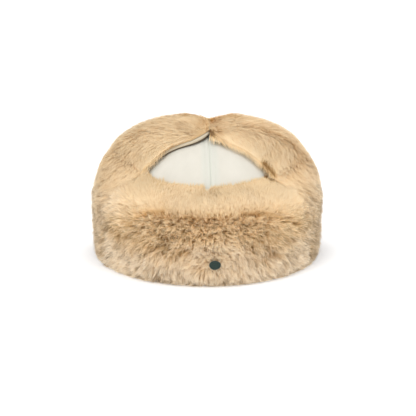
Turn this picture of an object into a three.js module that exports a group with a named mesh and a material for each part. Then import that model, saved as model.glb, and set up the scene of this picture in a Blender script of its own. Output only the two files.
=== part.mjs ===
// An earflap baseball cap. Six cloth panels make the crown's hollow dome, with a curved peak in
// front. Deep-fur flaps are folded up against it: a neck flap round the back, and two ear flaps that
// reach over the crown and meet on its top, so that the crown shows between them behind and in front.
// Millimetres, +Z up, the peak towards +Y. The origin is under the middle of the whole cap.
import * as THREE from "three";

// Crown. Its plan is an ellipse, and its upright sections are superellipses with this exponent.
const CROWN_HALF_WIDTH = 81.5;
const CROWN_HALF_DEPTH = 103.5;
const CROWN_TOP = 120;
const CROWN_EXPONENT = 2.4;
const CROWN_WALL = 2;

// Its six panels, each between two seams, in degrees round the crown from the middle of the back. Along a
// seam the cloth is drawn in, and a hair's gap keeps the panels apart.
const PANELS = [
  { name: "back_right", from: 3.3, to: 61 },
  { name: "side_right", from: 61, to: 120 },
  { name: "front_right", from: 120, to: 180 },
  { name: "front_left", from: 180, to: 240 },
  { name: "side_left", from: 240, to: 301 },
  { name: "back_left", from: 301, to: 363.3 },
];
const PANEL_COLUMNS = [0, 0.04, 0.2, 0.5, 0.8, 0.96, 1];
const PANEL_ROWS = [0, 0.1, 0.2, 0.3, 0.4, 0.5, 0.6, 0.7, 0.8, 0.9, 0.995];
const SEAM_DEPTH = 0.7;
const SEAM_GAP = 0.3;

// Peak. Its two sides lie lowest, and its middle arches above them and dips towards the front. Its front
// edge is an ellipse that comes back to the crown at both ends, and angles are in degrees from straight on.
const PEAK_THICKNESS = 3.2;
const PEAK_HALF_WIDTH = 85;
const PEAK_REACH = 70;
const PEAK_WIDEST_Y = 88;
const PEAK_LENGTH_BEHIND = 52;
const PEAK_LENGTH_AHEAD = CROWN_HALF_DEPTH + PEAK_REACH - PEAK_WIDEST_Y;
const PEAK_EDGE_HEIGHT = 3;
const PEAK_ARCH = 16;
const PEAK_DIP = 7;
const PEAK_CROWN_ANGLE = 57;
const PEAK_EDGE_ANGLE = 122;
const PEAK_COLUMNS = 26;
const PEAK_ROWS = [0, 0.14, 0.35, 0.6, 0.82, 0.94, 1];

// Flaps. Angles are in degrees round the crown from the middle of the back, and levels are shares of the
// way up it, as crownAt says.
const NECK_ANGLE = 60;
const EAR_FRONT_ANGLE = 118;
const FLAP_GAP_ANGLE = 0.2;
const NECK_EDGE_LEVEL = 0.435;
const NECK_CLEFT = { halfAngle: 3.5, level: 0.03 };
const EAR_BACK_Y = -42;
const EAR_FRONT_Y = 41;
const EAR_MEET_X = 2.3;
const EAR_MEET_GAP = 0.35;
const EAR_KNEE_SHARE = 0.6; // how far up an ear flap its knee is: a whole number of grid rows

// At its knee an ear flap turns in over the crown. The left one turns in higher up, has a rounder tip and
// stands a little further off the crown along its edges.
const EARS = {
  right: { sign: 1, kneeLevel: 0.43, rounding: 0.2, power: 7, lift: 1.2 },
  left: { sign: -1, kneeLevel: 0.47, rounding: 0.42, power: 6, lift: 1.8 },
};
const NECK_RISE_POWER = 6;
const LIFT = { width: 18, from: 72, to: 100 };
const TIP_LIFT = { height: 2.3, width: 26 };

const NECK_GRID = { columns: 32, rows: 14, partingColumn: 16 };
const EAR_GRID = { columns: 14, rows: 25, partingColumn: 0 };
const LINING_GRID = { columns: 10, rows: 20 };
const LINING_START = 0.02;
const LINING_THICKNESS = 1.2;
const LINING_MARGIN = 2.6;
const CLEARANCE = 0.5;
const EDGE_STEPS = 40;

// Fur. Its depth from the crown at each level, at the side and at the back, and how it thins towards a
// free edge.
const FUR_DEPTH = [
  { level: 0, side: 27, back: 30.5 },
  { level: 0.1, side: 28.5, back: 31 },
  { level: 0.2, side: 32.8, back: 31 },
  { level: 0.35, side: 34, back: 29.5 },
  { level: 0.5, side: 30.8, back: 28 },
  { level: 0.6, side: 26.2, back: 25 },
  { level: 0.7, side: 20.5, back: 20.5 },
  { level: 0.8, side: 16, back: 16 },
  { level: 0.9, side: 12.5, back: 12.5 },
  { level: 1, side: 11.5, back: 11.5 },
];
const FUR_EDGE_DEPTH = 1.6;
const FUR_BEVEL = { neck: 40, over: 26, front: 24, power: 1.4, from: 76, to: 106 };
const TIP_BEVEL = { width: 11, share: 0.6, level: 0.6 };
const HEM = [
  { height: 0, share: 0.9 },
  { height: 4.5, share: 0.97 },
];
const LOCK = { depth: 4, columns: 2, rows: 3, valley: 0.25, fade: 14, variation: 0.3 };

// Badge on the neck flap, and the snap under the ear flaps' tips.
const BADGE = { halfWidth: 5.4, halfHeight: 4.3, thickness: 1.6, height: 20, angle: 3.5, segments: 28 };
const BADGE_CLEAR = { from: 12, to: 24 };
const SNAP = { radius: 5.5, thickness: 1.3, segments: 24 };

const MATERIALS = {
  twill: new THREE.MeshStandardMaterial({ color: 0xebe7da, roughness: 0.9, metalness: 0 }),
  fur: new THREE.MeshStandardMaterial({ color: 0xd9be93, roughness: 0.95, metalness: 0 }),
  badge: new THREE.MeshStandardMaterial({ color: 0x12392f, roughness: 0.8, metalness: 0 }),
  snap: new THREE.MeshStandardMaterial({ color: 0xd8d4c8, roughness: 0.4, metalness: 0 }),
};

const radians = THREE.MathUtils.degToRad;
const degrees = THREE.MathUtils.radToDeg;
const mix = THREE.MathUtils.lerp;
const smooth = THREE.MathUtils.smoothstep;

// Height of the peak's middle surface at x, before its dip towards the front.
function archAt(x) {
  return PEAK_EDGE_HEIGHT + PEAK_ARCH * (1 - (x / PEAK_HALF_WIDTH) ** 2);
}

// Height of the crown's rim. In front it follows the peak's underside.
function rimAt(angle) {
  const behind = Math.cos(radians(angle)) > 0;
  const x = CROWN_HALF_WIDTH * (behind ? 1 : Math.sin(radians(angle)));
  return archAt(x) - PEAK_THICKNESS / 2;
}

// A point of the crown's outer face and its outward normal. Level 0 is the rim and 1 is the top.
function crownAt(angle, level) {
  const turn = radians(angle);
  const rise = (level * Math.PI) / 2;
  const inward = Math.max(Math.cos(rise), 0) ** (2 / CROWN_EXPONENT);
  const upward = Math.sin(rise) ** (2 / CROWN_EXPONENT);
  const rim = rimAt(angle);
  const point = new THREE.Vector3(
    CROWN_HALF_WIDTH * inward * Math.sin(turn),
    -CROWN_HALF_DEPTH * inward * Math.cos(turn),
    rim + (CROWN_TOP - rim) * upward,
  );
  const across = Math.max(inward, 1e-6) ** (CROWN_EXPONENT - 2);
  const normal = new THREE.Vector3(
    (across * point.x) / CROWN_HALF_WIDTH ** 2,
    (across * point.y) / CROWN_HALF_DEPTH ** 2,
    upward ** (CROWN_EXPONENT - 1) / (CROWN_TOP - rim),
  ).normalize();
  return { point, normal, level };
}

// The same, over a place in plan.
function crownOver(x, y) {
  const inward = Math.hypot(x / CROWN_HALF_WIDTH, y / CROWN_HALF_DEPTH);
  const level = (2 / Math.PI) * Math.acos(inward ** (CROWN_EXPONENT / 2));
  return crownAt(degrees(Math.atan2(x / CROWN_HALF_WIDTH, -y / CROWN_HALF_DEPTH)), level);
}

// The level at which the crown reaches a height, behind.
function levelAt(height) {
  const rim = rimAt(0);
  return (2 / Math.PI) * Math.asin(((height - rim) / (CROWN_TOP - rim)) ** (CROWN_EXPONENT / 2));
}

function away(place, distance) {
  return place.point.clone().addScaledVector(place.normal, distance);
}

// Where the neck flap lies on the crown. Across and up run from 0 to 1.
function neckPlace(across, up) {
  const reach = NECK_ANGLE - FLAP_GAP_ANGLE;
  const angle = mix(-reach, reach, across);
  const knee = (angle > 0 ? EARS.right : EARS.left).kneeLevel;
  const rise = Math.abs(angle / NECK_ANGLE) ** NECK_RISE_POWER;
  const cleft = NECK_CLEFT.level * Math.max(0, 1 - Math.abs(angle) / NECK_CLEFT.halfAngle);
  return crownAt(angle, (mix(NECK_EDGE_LEVEL, knee, rise) - cleft) * up);
}

// Where an ear flap lies: straight up the crown to its knee, then in towards the cap's middle plane. Its
// tip narrows, and margin moves its two long edges outwards.
function earPlace(ear, across, up, margin = 0) {
  const front = EAR_FRONT_ANGLE + degrees(margin / CROWN_HALF_WIDTH);
  const angle = ear.sign * mix(NECK_ANGLE + FLAP_GAP_ANGLE, front, across);
  if (up <= EAR_KNEE_SHARE) return crownAt(angle, (ear.kneeLevel * up) / EAR_KNEE_SHARE);
  const knee = crownAt(angle, ear.kneeLevel).point;
  const share = (up - EAR_KNEE_SHARE) / (1 - EAR_KNEE_SHARE);
  const narrowing = 1 - ear.rounding * share ** ear.power;
  const middle = (EAR_BACK_Y + EAR_FRONT_Y) / 2;
  const y = mix(middle, mix(EAR_BACK_Y, EAR_FRONT_Y, across), narrowing) + margin * (2 * across - 1);
  const x = EAR_MEET_X + ear.sign * EAR_MEET_GAP;
  return crownOver(mix(knee.x, x, share), mix(knee.y, y, share));
}

// The flaps' free edges, as points a few millimetres apart: behind, round the bare crown, and in front.
function freeEdges() {
  const behind = [];
  const front = [];
  for (let i = 0; i <= EDGE_STEPS; i++) {
    const share = i / EDGE_STEPS;
    behind.push(neckPlace(share, 1).point);
    for (const ear of Object.values(EARS)) {
      behind.push(earPlace(ear, 0, mix(EAR_KNEE_SHARE, 1, share)).point);
      front.push(earPlace(ear, 1, share).point);
    }
  }
  return { behind, front };
}

const EDGES = freeEdges();

function distanceTo(points, point) {
  return Math.min(...points.map((other) => other.distanceTo(point)));
}

// Value of a table's column between its rows.
function lookUp(table, key, column, at) {
  const next = table.findIndex((row) => row[key] >= at);
  if (next <= 0) return table[0][column];
  const [low, high] = [table[next - 1], table[next]];
  return mix(low[column], high[column], (at - low[key]) / (high[key] - low[key]));
}

// Fur's depth over a place on the crown.
function furDepth(place) {
  const { point, level } = place;
  const backward = Math.max(0, -point.y) / Math.hypot(point.x, point.y);
  const side = lookUp(FUR_DEPTH, "level", "side", level);
  const back = lookUp(FUR_DEPTH, "level", "back", level);
  const full = mix(side, back, backward ** 2);
  const bevel = mix(FUR_BEVEL.neck, FUR_BEVEL.over, smooth(point.z, FUR_BEVEL.from, FUR_BEVEL.to));
  const behind = distanceTo(EDGES.behind, point) / bevel;
  const front = distanceTo(EDGES.front, point) / FUR_BEVEL.front;
  const body = 1 - (1 - Math.min(behind, front, 1)) ** FUR_BEVEL.power;
  const fromMeeting = smooth(Math.abs(point.x - EAR_MEET_X), 0, TIP_BEVEL.width);
  const tip = level > TIP_BEVEL.level ? mix(TIP_BEVEL.share, 1, Math.sqrt(fromMeeting)) : 1;
  return FUR_EDGE_DEPTH + (full - FUR_EDGE_DEPTH) * body * tip;
}

// How far an ear flap's inner face stands off the crown: most along its edges and at its tip.
function standOff(ear, place) {
  const { point } = place;
  const near = Math.max(0, 1 - distanceTo([...EDGES.behind, ...EDGES.front], point) / LIFT.width);
  const edge = ear.lift * near ** 2 * smooth(point.z, LIFT.from, LIFT.to);
  const middle = Math.max(0, 1 - Math.abs(point.x - EAR_MEET_X) / TIP_LIFT.width);
  return CLEARANCE + Math.max(edge, TIP_LIFT.height * Math.sqrt(middle));
}

// Locks lie like shingles, each thickest at its lower end and along its middle, in staggered columns.
function lockDepth(column, row) {
  const group = Math.floor(column / LOCK.columns);
  const step = (row + group * Math.ceil(LOCK.rows / 2)) % LOCK.rows;
  const along = 1 - step / (LOCK.rows - 1);
  const over = column % LOCK.columns === 0 ? LOCK.valley : 1;
  const size = 1 + LOCK.variation * Math.sin(5.3 * group + 2.1 * (row - step));
  return LOCK.depth * (along * over * size - 0.5);
}

// 0 where the badge lies, 1 away from it.
function clearOfBadge({ point }) {
  if (point.y > 0) return 1;
  return smooth(Math.hypot(point.x, point.z - BADGE.height), BADGE_CLEAR.from, BADGE_CLEAR.to);
}

function solidOf(points, faces) {
  const geometry = new THREE.BufferGeometry().setFromPoints(points);
  geometry.setIndex(faces);
  geometry.computeVertexNormals();
  return geometry;
}

// A closed solid between an outer and an inner grid of points, joined round their borders.
function slab(outer, inner) {
  const rows = outer.length;
  const columns = outer[0].length;
  const faces = [];
  const top = (i, j) => i * columns + j;
  const under = (i, j) => (rows + i) * columns + j;
  const quad = (a, b, c, d) => faces.push(a, b, c, a, c, d);
  for (let i = 0; i + 1 < rows; i++) {
    for (let j = 0; j + 1 < columns; j++) {
      const corners = [top(i, j), top(i, j + 1), top(i + 1, j + 1), top(i + 1, j)];
      quad(...(j % 2 ? corners : [...corners.slice(1), corners[0]]));
      quad(under(i, j), under(i + 1, j), under(i + 1, j + 1), under(i, j + 1));
    }
    quad(top(i, 0), top(i + 1, 0), under(i + 1, 0), under(i, 0));
    quad(top(i, columns - 1), under(i, columns - 1), under(i + 1, columns - 1), top(i + 1, columns - 1));
  }
  for (let j = 0; j + 1 < columns; j++) {
    quad(top(0, j), under(0, j), under(0, j + 1), top(0, j + 1));
    quad(top(rows - 1, j), top(rows - 1, j + 1), under(rows - 1, j + 1), under(rows - 1, j));
  }
  return solidOf([...outer.flat(), ...inner.flat()], faces);
}

function meshOf(name, geometry, material) {
  const mesh = new THREE.Mesh(geometry, material);
  mesh.name = name;
  return mesh;
}

// One panel of the crown, from its rim up to the top, where the six meet round a small hole.
function crownPanel({ name, from, to }) {
  const outer = [];
  const inner = [];
  for (const level of PANEL_ROWS) {
    const places = PANEL_COLUMNS.map((share) => {
      const angle = mix(from, to, share);
      const { point } = crownAt(angle, level);
      const gap = degrees(SEAM_GAP / 2 / Math.hypot(point.x, point.y));
      return crownAt(angle + gap * ((share === 0) - (share === 1)), level);
    });
    const groove = (j) => (j === 0 || j === places.length - 1 ? SEAM_DEPTH : 0);
    outer.push(places.map((place, j) => away(place, -groove(j))));
    inner.push(places.map((place) => away(place, -CROWN_WALL)));
  }
  return meshOf(`crown_panel_${name}`, slab(outer, inner), MATERIALS.twill);
}

// The peak: from the crown's rim out to its rounded front edge.
function peak() {
  const top = [];
  const under = [];
  for (const out of PEAK_ROWS) {
    const upper = [];
    const lower = [];
    for (let i = 0; i <= PEAK_COLUMNS; i++) {
      const across = (2 * i) / PEAK_COLUMNS - 1;
      const turn = radians(PEAK_CROWN_ANGLE * across);
      const sweep = radians(PEAK_EDGE_ANGLE * across);
      const length = Math.cos(sweep) > 0 ? PEAK_LENGTH_AHEAD : PEAK_LENGTH_BEHIND;
      const plan = new THREE.Vector2(
        (CROWN_HALF_WIDTH + CLEARANCE) * Math.sin(turn),
        (CROWN_HALF_DEPTH + CLEARANCE) * Math.cos(turn),
      );
      const edge = new THREE.Vector2(
        PEAK_HALF_WIDTH * Math.sin(sweep),
        PEAK_WIDEST_Y + length * Math.cos(sweep),
      );
      plan.lerp(edge, out);
      const bend = 1 - (plan.x / PEAK_HALF_WIDTH) ** 2;
      const height = archAt(plan.x) - PEAK_DIP * out * bend;
      upper.push(new THREE.Vector3(plan.x, plan.y, height + PEAK_THICKNESS / 2));
      lower.push(new THREE.Vector3(plan.x, plan.y, height - PEAK_THICKNESS / 2));
    }
    top.push(upper);
    under.push(lower);
  }
  return meshOf("peak", slab(top, under), MATERIALS.twill);
}

// A fur flap's outer and inner grids: a flat hem that stands on the ground, then locks up to its edge.
function furGrids(placeAt, standOffAt, grid) {
  const outer = [];
  const inner = [];
  const start = standOffAt(placeAt(0, 0));
  for (const { height, share } of HEM) {
    const row = Array.from({ length: grid.columns + 1 }, (_, j) => placeAt(j / grid.columns, 0));
    outer.push(row.map((place) => {
      const depth = Math.max(mix(start, furDepth(place), share), start + FUR_EDGE_DEPTH);
      return away(place, depth).setZ(height);
    }));
    inner.push(row.map((place) => away(place, start).setZ(height)));
  }
  for (let i = 1; i <= grid.rows; i++) {
    const face = [];
    const back = [];
    for (let j = 0; j <= grid.columns; j++) {
      const place = placeAt(j / grid.columns, i / grid.rows);
      const base = standOffAt(place);
      const depth = furDepth(place);
      const border = j === 0 || j === grid.columns || i === grid.rows;
      const thick = border ? 0 : Math.min(1, depth / LOCK.fade) * clearOfBadge(place);
      const lock = thick * lockDepth(Math.abs(j - grid.partingColumn), i);
      face.push(away(place, Math.max(depth + lock, base + FUR_EDGE_DEPTH)));
      back.push(away(place, base));
    }
    outer.push(face);
    inner.push(back);
  }
  return { outer, inner };
}

// A slab over an ear flap's grids, which run the other way round on the left.
function earSlab(ear, { outer, inner }) {
  const turned = (grid) => (ear.sign > 0 ? grid : grid.map((row) => [...row].reverse()));
  return slab(turned(outer), turned(inner));
}

function neckFlap() {
  const { outer, inner } = furGrids(neckPlace, () => CLEARANCE, NECK_GRID);
  return meshOf("neck_flap", slab(outer, inner), MATERIALS.fur);
}

function earFlap(side) {
  const ear = EARS[side];
  const overLining = (place) => standOff(ear, place) + LINING_THICKNESS + CLEARANCE;
  const grids = furGrids((across, up) => earPlace(ear, across, up), overLining, EAR_GRID);
  return meshOf(`ear_flap_${side}`, earSlab(ear, grids), MATERIALS.fur);
}

// An ear flap's cloth lining, between its fur and the crown. It shows a little past the fur.
function earLining(side) {
  const ear = EARS[side];
  const grids = { outer: [], inner: [] };
  for (let i = 0; i <= LINING_GRID.rows; i++) {
    const up = Math.max(LINING_START, i / LINING_GRID.rows);
    const places = [];
    for (let j = 0; j <= LINING_GRID.columns; j++) {
      places.push(earPlace(ear, j / LINING_GRID.columns, up, LINING_MARGIN));
    }
    grids.outer.push(places.map((place) => away(place, standOff(ear, place) + LINING_THICKNESS)));
    grids.inner.push(places.map((place) => away(place, standOff(ear, place))));
  }
  return meshOf(`ear_lining_${side}`, earSlab(ear, grids), MATERIALS.twill);
}

// An oval badge that lies flat against the neck flap's fur.
function badge() {
  const shape = new THREE.Shape();
  shape.absellipse(0, 0, BADGE.halfWidth, BADGE.halfHeight, 0, 2 * Math.PI);
  const geometry = new THREE.ExtrudeGeometry(shape, {
    depth: BADGE.thickness,
    bevelEnabled: false,
    curveSegments: BADGE.segments,
  });
  const [low, middle, high] = [-1, 0, 1].map((side) => {
    const place = crownAt(BADGE.angle, levelAt(BADGE.height + side * BADGE.halfHeight));
    return { face: away(place, furDepth(place)), normal: place.normal };
  });
  const along = high.face.clone().sub(low.face).normalize();
  const outward = middle.normal.clone().projectOnPlane(along).normalize();
  const mesh = meshOf("badge", geometry, MATERIALS.badge);
  mesh.position.copy(middle.face).addScaledVector(outward, CLEARANCE);
  mesh.quaternion.setFromUnitVectors(new THREE.Vector3(0, 0, 1), outward);
  return mesh;
}

// A plain snap that holds the ear flaps' tips, between them and the crown.
function snap() {
  const geometry = new THREE.CylinderGeometry(SNAP.radius, SNAP.radius, SNAP.thickness, SNAP.segments);
  const mesh = meshOf("flap_snap", geometry, MATERIALS.snap);
  mesh.rotation.x = Math.PI / 2;
  mesh.position.set(EAR_MEET_X, 0, CROWN_TOP + CLEARANCE + SNAP.thickness / 2);
  return mesh;
}

const cap = new THREE.Group();
cap.add(...PANELS.map(crownPanel), peak(), neckFlap(), badge(), snap());
for (const side of Object.keys(EARS)) cap.add(earFlap(side), earLining(side));

// Sets the cap down with the middle of its base at the origin.
const box = new THREE.Box3().setFromObject(cap, true);
cap.position.set(-(box.min.x + box.max.x) / 2, -(box.min.y + box.max.y) / 2, -box.min.z);

export default cap;
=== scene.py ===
# Looks for an earflap baseball cap that stands on its rim, seen from behind. Lengths are in millimetres,
# from the middle of the crown's rim, until build_mesh turns them into metres in the frame.
import math

import bpy
import numpy as np
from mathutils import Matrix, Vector


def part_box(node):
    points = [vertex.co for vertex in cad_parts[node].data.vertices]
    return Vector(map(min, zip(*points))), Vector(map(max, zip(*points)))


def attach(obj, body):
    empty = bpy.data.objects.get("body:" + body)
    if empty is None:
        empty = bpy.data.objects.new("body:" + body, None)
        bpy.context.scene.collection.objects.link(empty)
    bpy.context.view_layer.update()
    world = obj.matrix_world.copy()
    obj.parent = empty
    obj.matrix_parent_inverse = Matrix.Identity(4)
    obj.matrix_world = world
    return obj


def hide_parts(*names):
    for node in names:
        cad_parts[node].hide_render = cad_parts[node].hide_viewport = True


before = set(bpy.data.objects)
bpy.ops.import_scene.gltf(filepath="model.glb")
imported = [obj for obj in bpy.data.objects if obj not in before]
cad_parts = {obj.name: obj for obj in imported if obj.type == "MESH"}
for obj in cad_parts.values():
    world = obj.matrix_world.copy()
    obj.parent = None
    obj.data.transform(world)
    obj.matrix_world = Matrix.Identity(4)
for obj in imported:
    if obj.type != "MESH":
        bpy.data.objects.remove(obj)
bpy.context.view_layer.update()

MM = 0.001
PANEL_NODES = sorted(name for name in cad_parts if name.startswith("crown_panel_"))
CROWN_BOX = np.array([[*low, *high] for low, high in map(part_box, PANEL_NODES)])
CROWN_LOW, CROWN_HIGH = CROWN_BOX.min(0)[:3], CROWN_BOX.max(0)[3:]
CENTRE = np.array([(CROWN_LOW[0] + CROWN_HIGH[0]) / 2, (CROWN_LOW[1] + CROWN_HIGH[1]) / 2, 0.0])

# Crown and peak
CROWN_HALF_WIDTH = 81.5
CROWN_HALF_DEPTH = 103.5
CROWN_TOP = 120.0
CROWN_EXPONENT = 2.4
CROWN_WALL = 2.0
SEAMS = [3.3, 61, 120, 180, 240, 301]
STITCH_OFFSET = 5.3
PEAK_THICKNESS = 3.2
PEAK_HALF_WIDTH = 85.0
PEAK_REACH = 70.0
PEAK_WIDEST_Y = 88.0
PEAK_LENGTH_BEHIND = 52.0
PEAK_LENGTH_AHEAD = CROWN_HALF_DEPTH + PEAK_REACH - PEAK_WIDEST_Y
PEAK_EDGE_HEIGHT = 3.0
PEAK_ARCH = 16.0
PEAK_DIP = 7.0
PEAK_CROWN_ANGLE = math.radians(57)
PEAK_EDGE_ANGLE = math.radians(122)
PEAK_STITCH_ROWS = [0.955, 0.86, 0.765, 0.67, 0.575, 0.48, 0.385]

# Flaps
NECK_ANGLE = 60.0
FLAP_GAP_ANGLE = 0.2
EAR_FRONT_ANGLE = 118.0
NECK_EDGE_LEVEL = 0.435
NECK_CLEFT = {"half_angle": 3.5, "level": 0.03}
EAR_BACK_Y = -42.0
EAR_FRONT_Y = 41.0
EAR_MEET_X = 2.3
EAR_MEET_GAP = 0.35
EAR_KNEE_SHARE = 0.6
# Each flap's last setting gives how much shadow is painted under its edges: the lining's inner face is tinted
# dark, its edge is rolled down, and above 0.5 a dark strip of painted shadow fills the gap to the crown.
EARS = {
    "right": {"sign": 1, "knee": 0.43, "rounding": 0.2, "power": 7, "lift": 1.2, "short": 0.0,
              "shadow_under": 0.2},
    "left": {"sign": -1, "knee": 0.47, "rounding": 0.42, "power": 6, "lift": 1.8, "short": 0.028,
             "shadow_under": 1.0},
}
NECK_RISE_POWER = 6
LIFT = {"width": 18.0, "from": 72.0, "to": 100.0}
TIP_LIFT = {"height": 2.3, "width": 26.0}
CLEARANCE = 0.5
LINING_THICKNESS = 1.2
LINING_MARGIN = 2.6
FUR_LEVELS = [0, 0.1, 0.2, 0.35, 0.5, 0.6, 0.7, 0.8, 0.9, 1]
FUR_SIDE = [27, 28.5, 32.8, 34, 30.8, 26.2, 20.5, 16, 13.4, 14]
FUR_BACK = [30.5, 31, 31, 29.5, 28, 25, 20.5, 16, 13.4, 14]
FUR_EDGE_DEPTH = 1.6
FUR_BEVEL = {"neck": 40.0, "over": 26.0, "front": 24.0, "power": 1.4, "from": 76.0, "to": 106.0}
TIP_BEVEL = {"width": 11.0, "share": 0.6, "level": 0.6}
HEM = [(0.0, 0.9), (2.0, 0.94), (4.5, 0.97)]  # a height and how full the fur is there
EDGE_STEPS = 61

# Badge
BADGE = {"half_width": 5.4, "half_height": 4.3, "thickness": 1.6, "height": 20.0, "angle": 3.5}

# Camera: the photograph's frame is 416 pixels, and one pixel is this many millimetres at the cap.
FRAME_PIXELS = 416
PIXEL = 0.953
CAMERA_ELEVATION = 14.2
CAMERA_DISTANCE = 3.2
LOOK_AT = (1.0, 0.0, 42.0)

# Light and floor
WORLD_STRENGTH = 0.85
FLOOR = {"half_width": 4000.0, "white": 0.98, "glow": 0.15}
LAMP_TARGET = (0, 0, 0.05)
LAMPS = {  # a place in metres, a width in metres and a strength in watts
    "key": ((-0.6, -1.1, 1.7), 1.6, 11.0),
    "fill": ((1.3, -1.0, 1.1), 1.8, 4.0),
    "top": ((0.1, 0.4, 1.9), 1.8, 7.0),
}


def smooth(value, low, high):
    share = np.clip((value - low) / (high - low), 0, 1)
    return share * share * (3 - 2 * share)


def mix(a, b, share):
    return a + (b - a) * share


def hump(value, width, middle=0.0, power=2, most=1.0):
    """The most at a middle value, falling to 0 either side of it."""
    return most * np.exp(-(((value - middle) / width) ** power))


def dot(a, b):
    return (a * b).sum(-1, keepdims=True)


def unit(vectors):
    return vectors / np.maximum(np.linalg.norm(vectors, axis=-1, keepdims=True), 1e-9)


def waves(points, wavelength, seed, terms=7):
    """Smooth noise of about -1 to 1 over places in space, from waves in all directions."""
    rng = np.random.default_rng(seed)
    ways = unit(rng.normal(size=(terms, 3))) * 2 * np.pi / wavelength
    ways *= rng.uniform(0.6, 1.6, (terms, 1))
    phases = rng.uniform(0, 2 * np.pi, terms)
    return np.sin(points @ ways.T + phases).sum(-1) / math.sqrt(terms) * 1.1


def layers(points, rows):
    """Layers of noise added up, each with a strength, a wavelength and a seed."""
    return sum(strength * waves(points, wavelength, seed) for strength, wavelength, seed in rows)


# The crown's and the flaps' surfaces
def arch_at(x):
    return PEAK_EDGE_HEIGHT + PEAK_ARCH * (1 - (x / PEAK_HALF_WIDTH) ** 2)


def rim_at(turn):
    x = CROWN_HALF_WIDTH * np.where(np.cos(turn) > 0, 1, np.sin(turn))
    return arch_at(x) - PEAK_THICKNESS / 2


def crown_at(turn, level):
    """Points of the crown's outer face and their normals. Level 0 is the rim and 1 is the top."""
    turn, level = np.broadcast_arrays(turn, level)
    rise = np.clip(level, 0, 1) * np.pi / 2
    inward = np.maximum(np.cos(rise), 1e-6) ** (2 / CROWN_EXPONENT)
    upward = np.sin(rise) ** (2 / CROWN_EXPONENT)
    rim = rim_at(turn)
    x = CROWN_HALF_WIDTH * inward * np.sin(turn)
    y = -CROWN_HALF_DEPTH * inward * np.cos(turn)
    point = np.stack([x, y, rim + (CROWN_TOP - rim) * upward], -1)
    across = inward ** (CROWN_EXPONENT - 2)
    normal = np.stack([across * x / CROWN_HALF_WIDTH**2, across * y / CROWN_HALF_DEPTH**2,
                       upward ** (CROWN_EXPONENT - 1) / (CROWN_TOP - rim)], -1)
    return point, unit(normal)


def crown_over(x, y):
    """The crown's point, normal and level above or below a place."""
    inward = np.hypot(x / CROWN_HALF_WIDTH, y / CROWN_HALF_DEPTH)
    level = 2 / np.pi * np.arccos(np.clip(inward, 0, 1) ** (CROWN_EXPONENT / 2))
    turn = np.arctan2(x / CROWN_HALF_WIDTH, -y / CROWN_HALF_DEPTH)
    return (*crown_at(turn, level), level)


def level_at(height):
    rim = rim_at(0.0)
    return 2 / math.pi * math.asin(((height - rim) / (CROWN_TOP - rim)) ** (CROWN_EXPONENT / 2))


def neck_place(across, up):
    """The crown's point, normal and level under a place of the neck flap."""
    reach = NECK_ANGLE - FLAP_GAP_ANGLE
    angle = mix(-reach, reach, across)
    knee = np.where(angle > 0, EARS["right"]["knee"], EARS["left"]["knee"])
    rise = np.abs(angle / NECK_ANGLE) ** NECK_RISE_POWER
    cleft = NECK_CLEFT["level"] * np.maximum(0, 1 - np.abs(angle) / NECK_CLEFT["half_angle"])
    level = (mix(NECK_EDGE_LEVEL, knee, rise) - cleft) * up
    return (*crown_at(np.radians(angle), level), level)


def ear_place(ear, across, up, margin=0.0):
    """The crown's point, normal and level under a place of an ear flap, or of one with a wider margin."""
    across, up = np.broadcast_arrays(np.asarray(across, float), np.asarray(up, float))
    front = EAR_FRONT_ANGLE + math.degrees(margin / CROWN_HALF_WIDTH)
    turn = np.radians(ear["sign"] * mix(NECK_ANGLE + FLAP_GAP_ANGLE, front, across))
    low_level = ear["knee"] * np.minimum(up / EAR_KNEE_SHARE, 1)
    low = crown_at(turn, low_level)
    knee = crown_at(turn, ear["knee"])[0]
    share = np.clip((up - EAR_KNEE_SHARE) / (1 - EAR_KNEE_SHARE), 0, 1)
    narrowing = 1 - ear["rounding"] * share ** ear["power"]
    middle = (EAR_BACK_Y + EAR_FRONT_Y) / 2
    y = mix(middle, mix(EAR_BACK_Y, EAR_FRONT_Y, across), narrowing) + margin * (2 * across - 1)
    x = EAR_MEET_X + ear["sign"] * EAR_MEET_GAP
    high = crown_over(mix(knee[..., 0], x, share), mix(knee[..., 1], y, share))
    over = (share > 0)[..., None]
    return (np.where(over, high[0], low[0]), np.where(over, high[1], low[1]),
            np.where(share > 0, high[2], low_level))


def free_edges():
    """Points along the flaps' edges behind and in front, where the fur thins out."""
    share = np.linspace(0, 1, EDGE_STEPS)
    behind = [neck_place(share, 1)[0]]
    front = []
    for ear in EARS.values():
        behind.append(ear_place(ear, 0, mix(EAR_KNEE_SHARE, 1, share))[0])
        front.append(ear_place(ear, 1, share)[0])
    return np.concatenate(behind), np.concatenate(front)


BEHIND, FRONT = free_edges()


def distance_to(edge, points, parts=20):
    """How far points are from the nearest point of an edge, worked out in so many parts."""
    flat = points.reshape(-1, 3)
    nearest = [np.linalg.norm(part[:, None] - edge, axis=-1).min(1) for part in np.array_split(flat, parts)]
    return np.concatenate(nearest).reshape(points.shape[:-1])


def fur_depth(point, level):
    """How deep the fur is over a place on the crown, thinner towards the flaps' edges and tips."""
    backward = np.maximum(0, -point[..., 1]) / np.hypot(point[..., 0], point[..., 1])
    full = mix(np.interp(level, FUR_LEVELS, FUR_SIDE), np.interp(level, FUR_LEVELS, FUR_BACK), backward**2)
    height = smooth(point[..., 2], FUR_BEVEL["from"], FUR_BEVEL["to"])
    behind = distance_to(BEHIND, point) / mix(FUR_BEVEL["neck"], FUR_BEVEL["over"], height)
    front = distance_to(FRONT, point) / FUR_BEVEL["front"]
    near = np.minimum(np.minimum(behind, front), 1)
    body = 1 - (1 - near) ** FUR_BEVEL["power"]
    meeting = np.sqrt(smooth(np.abs(point[..., 0] - EAR_MEET_X), 0, TIP_BEVEL["width"]))
    tip = np.where(level > TIP_BEVEL["level"], mix(TIP_BEVEL["share"], 1, meeting), 1)
    return FUR_EDGE_DEPTH + (full - FUR_EDGE_DEPTH) * body * tip


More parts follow.
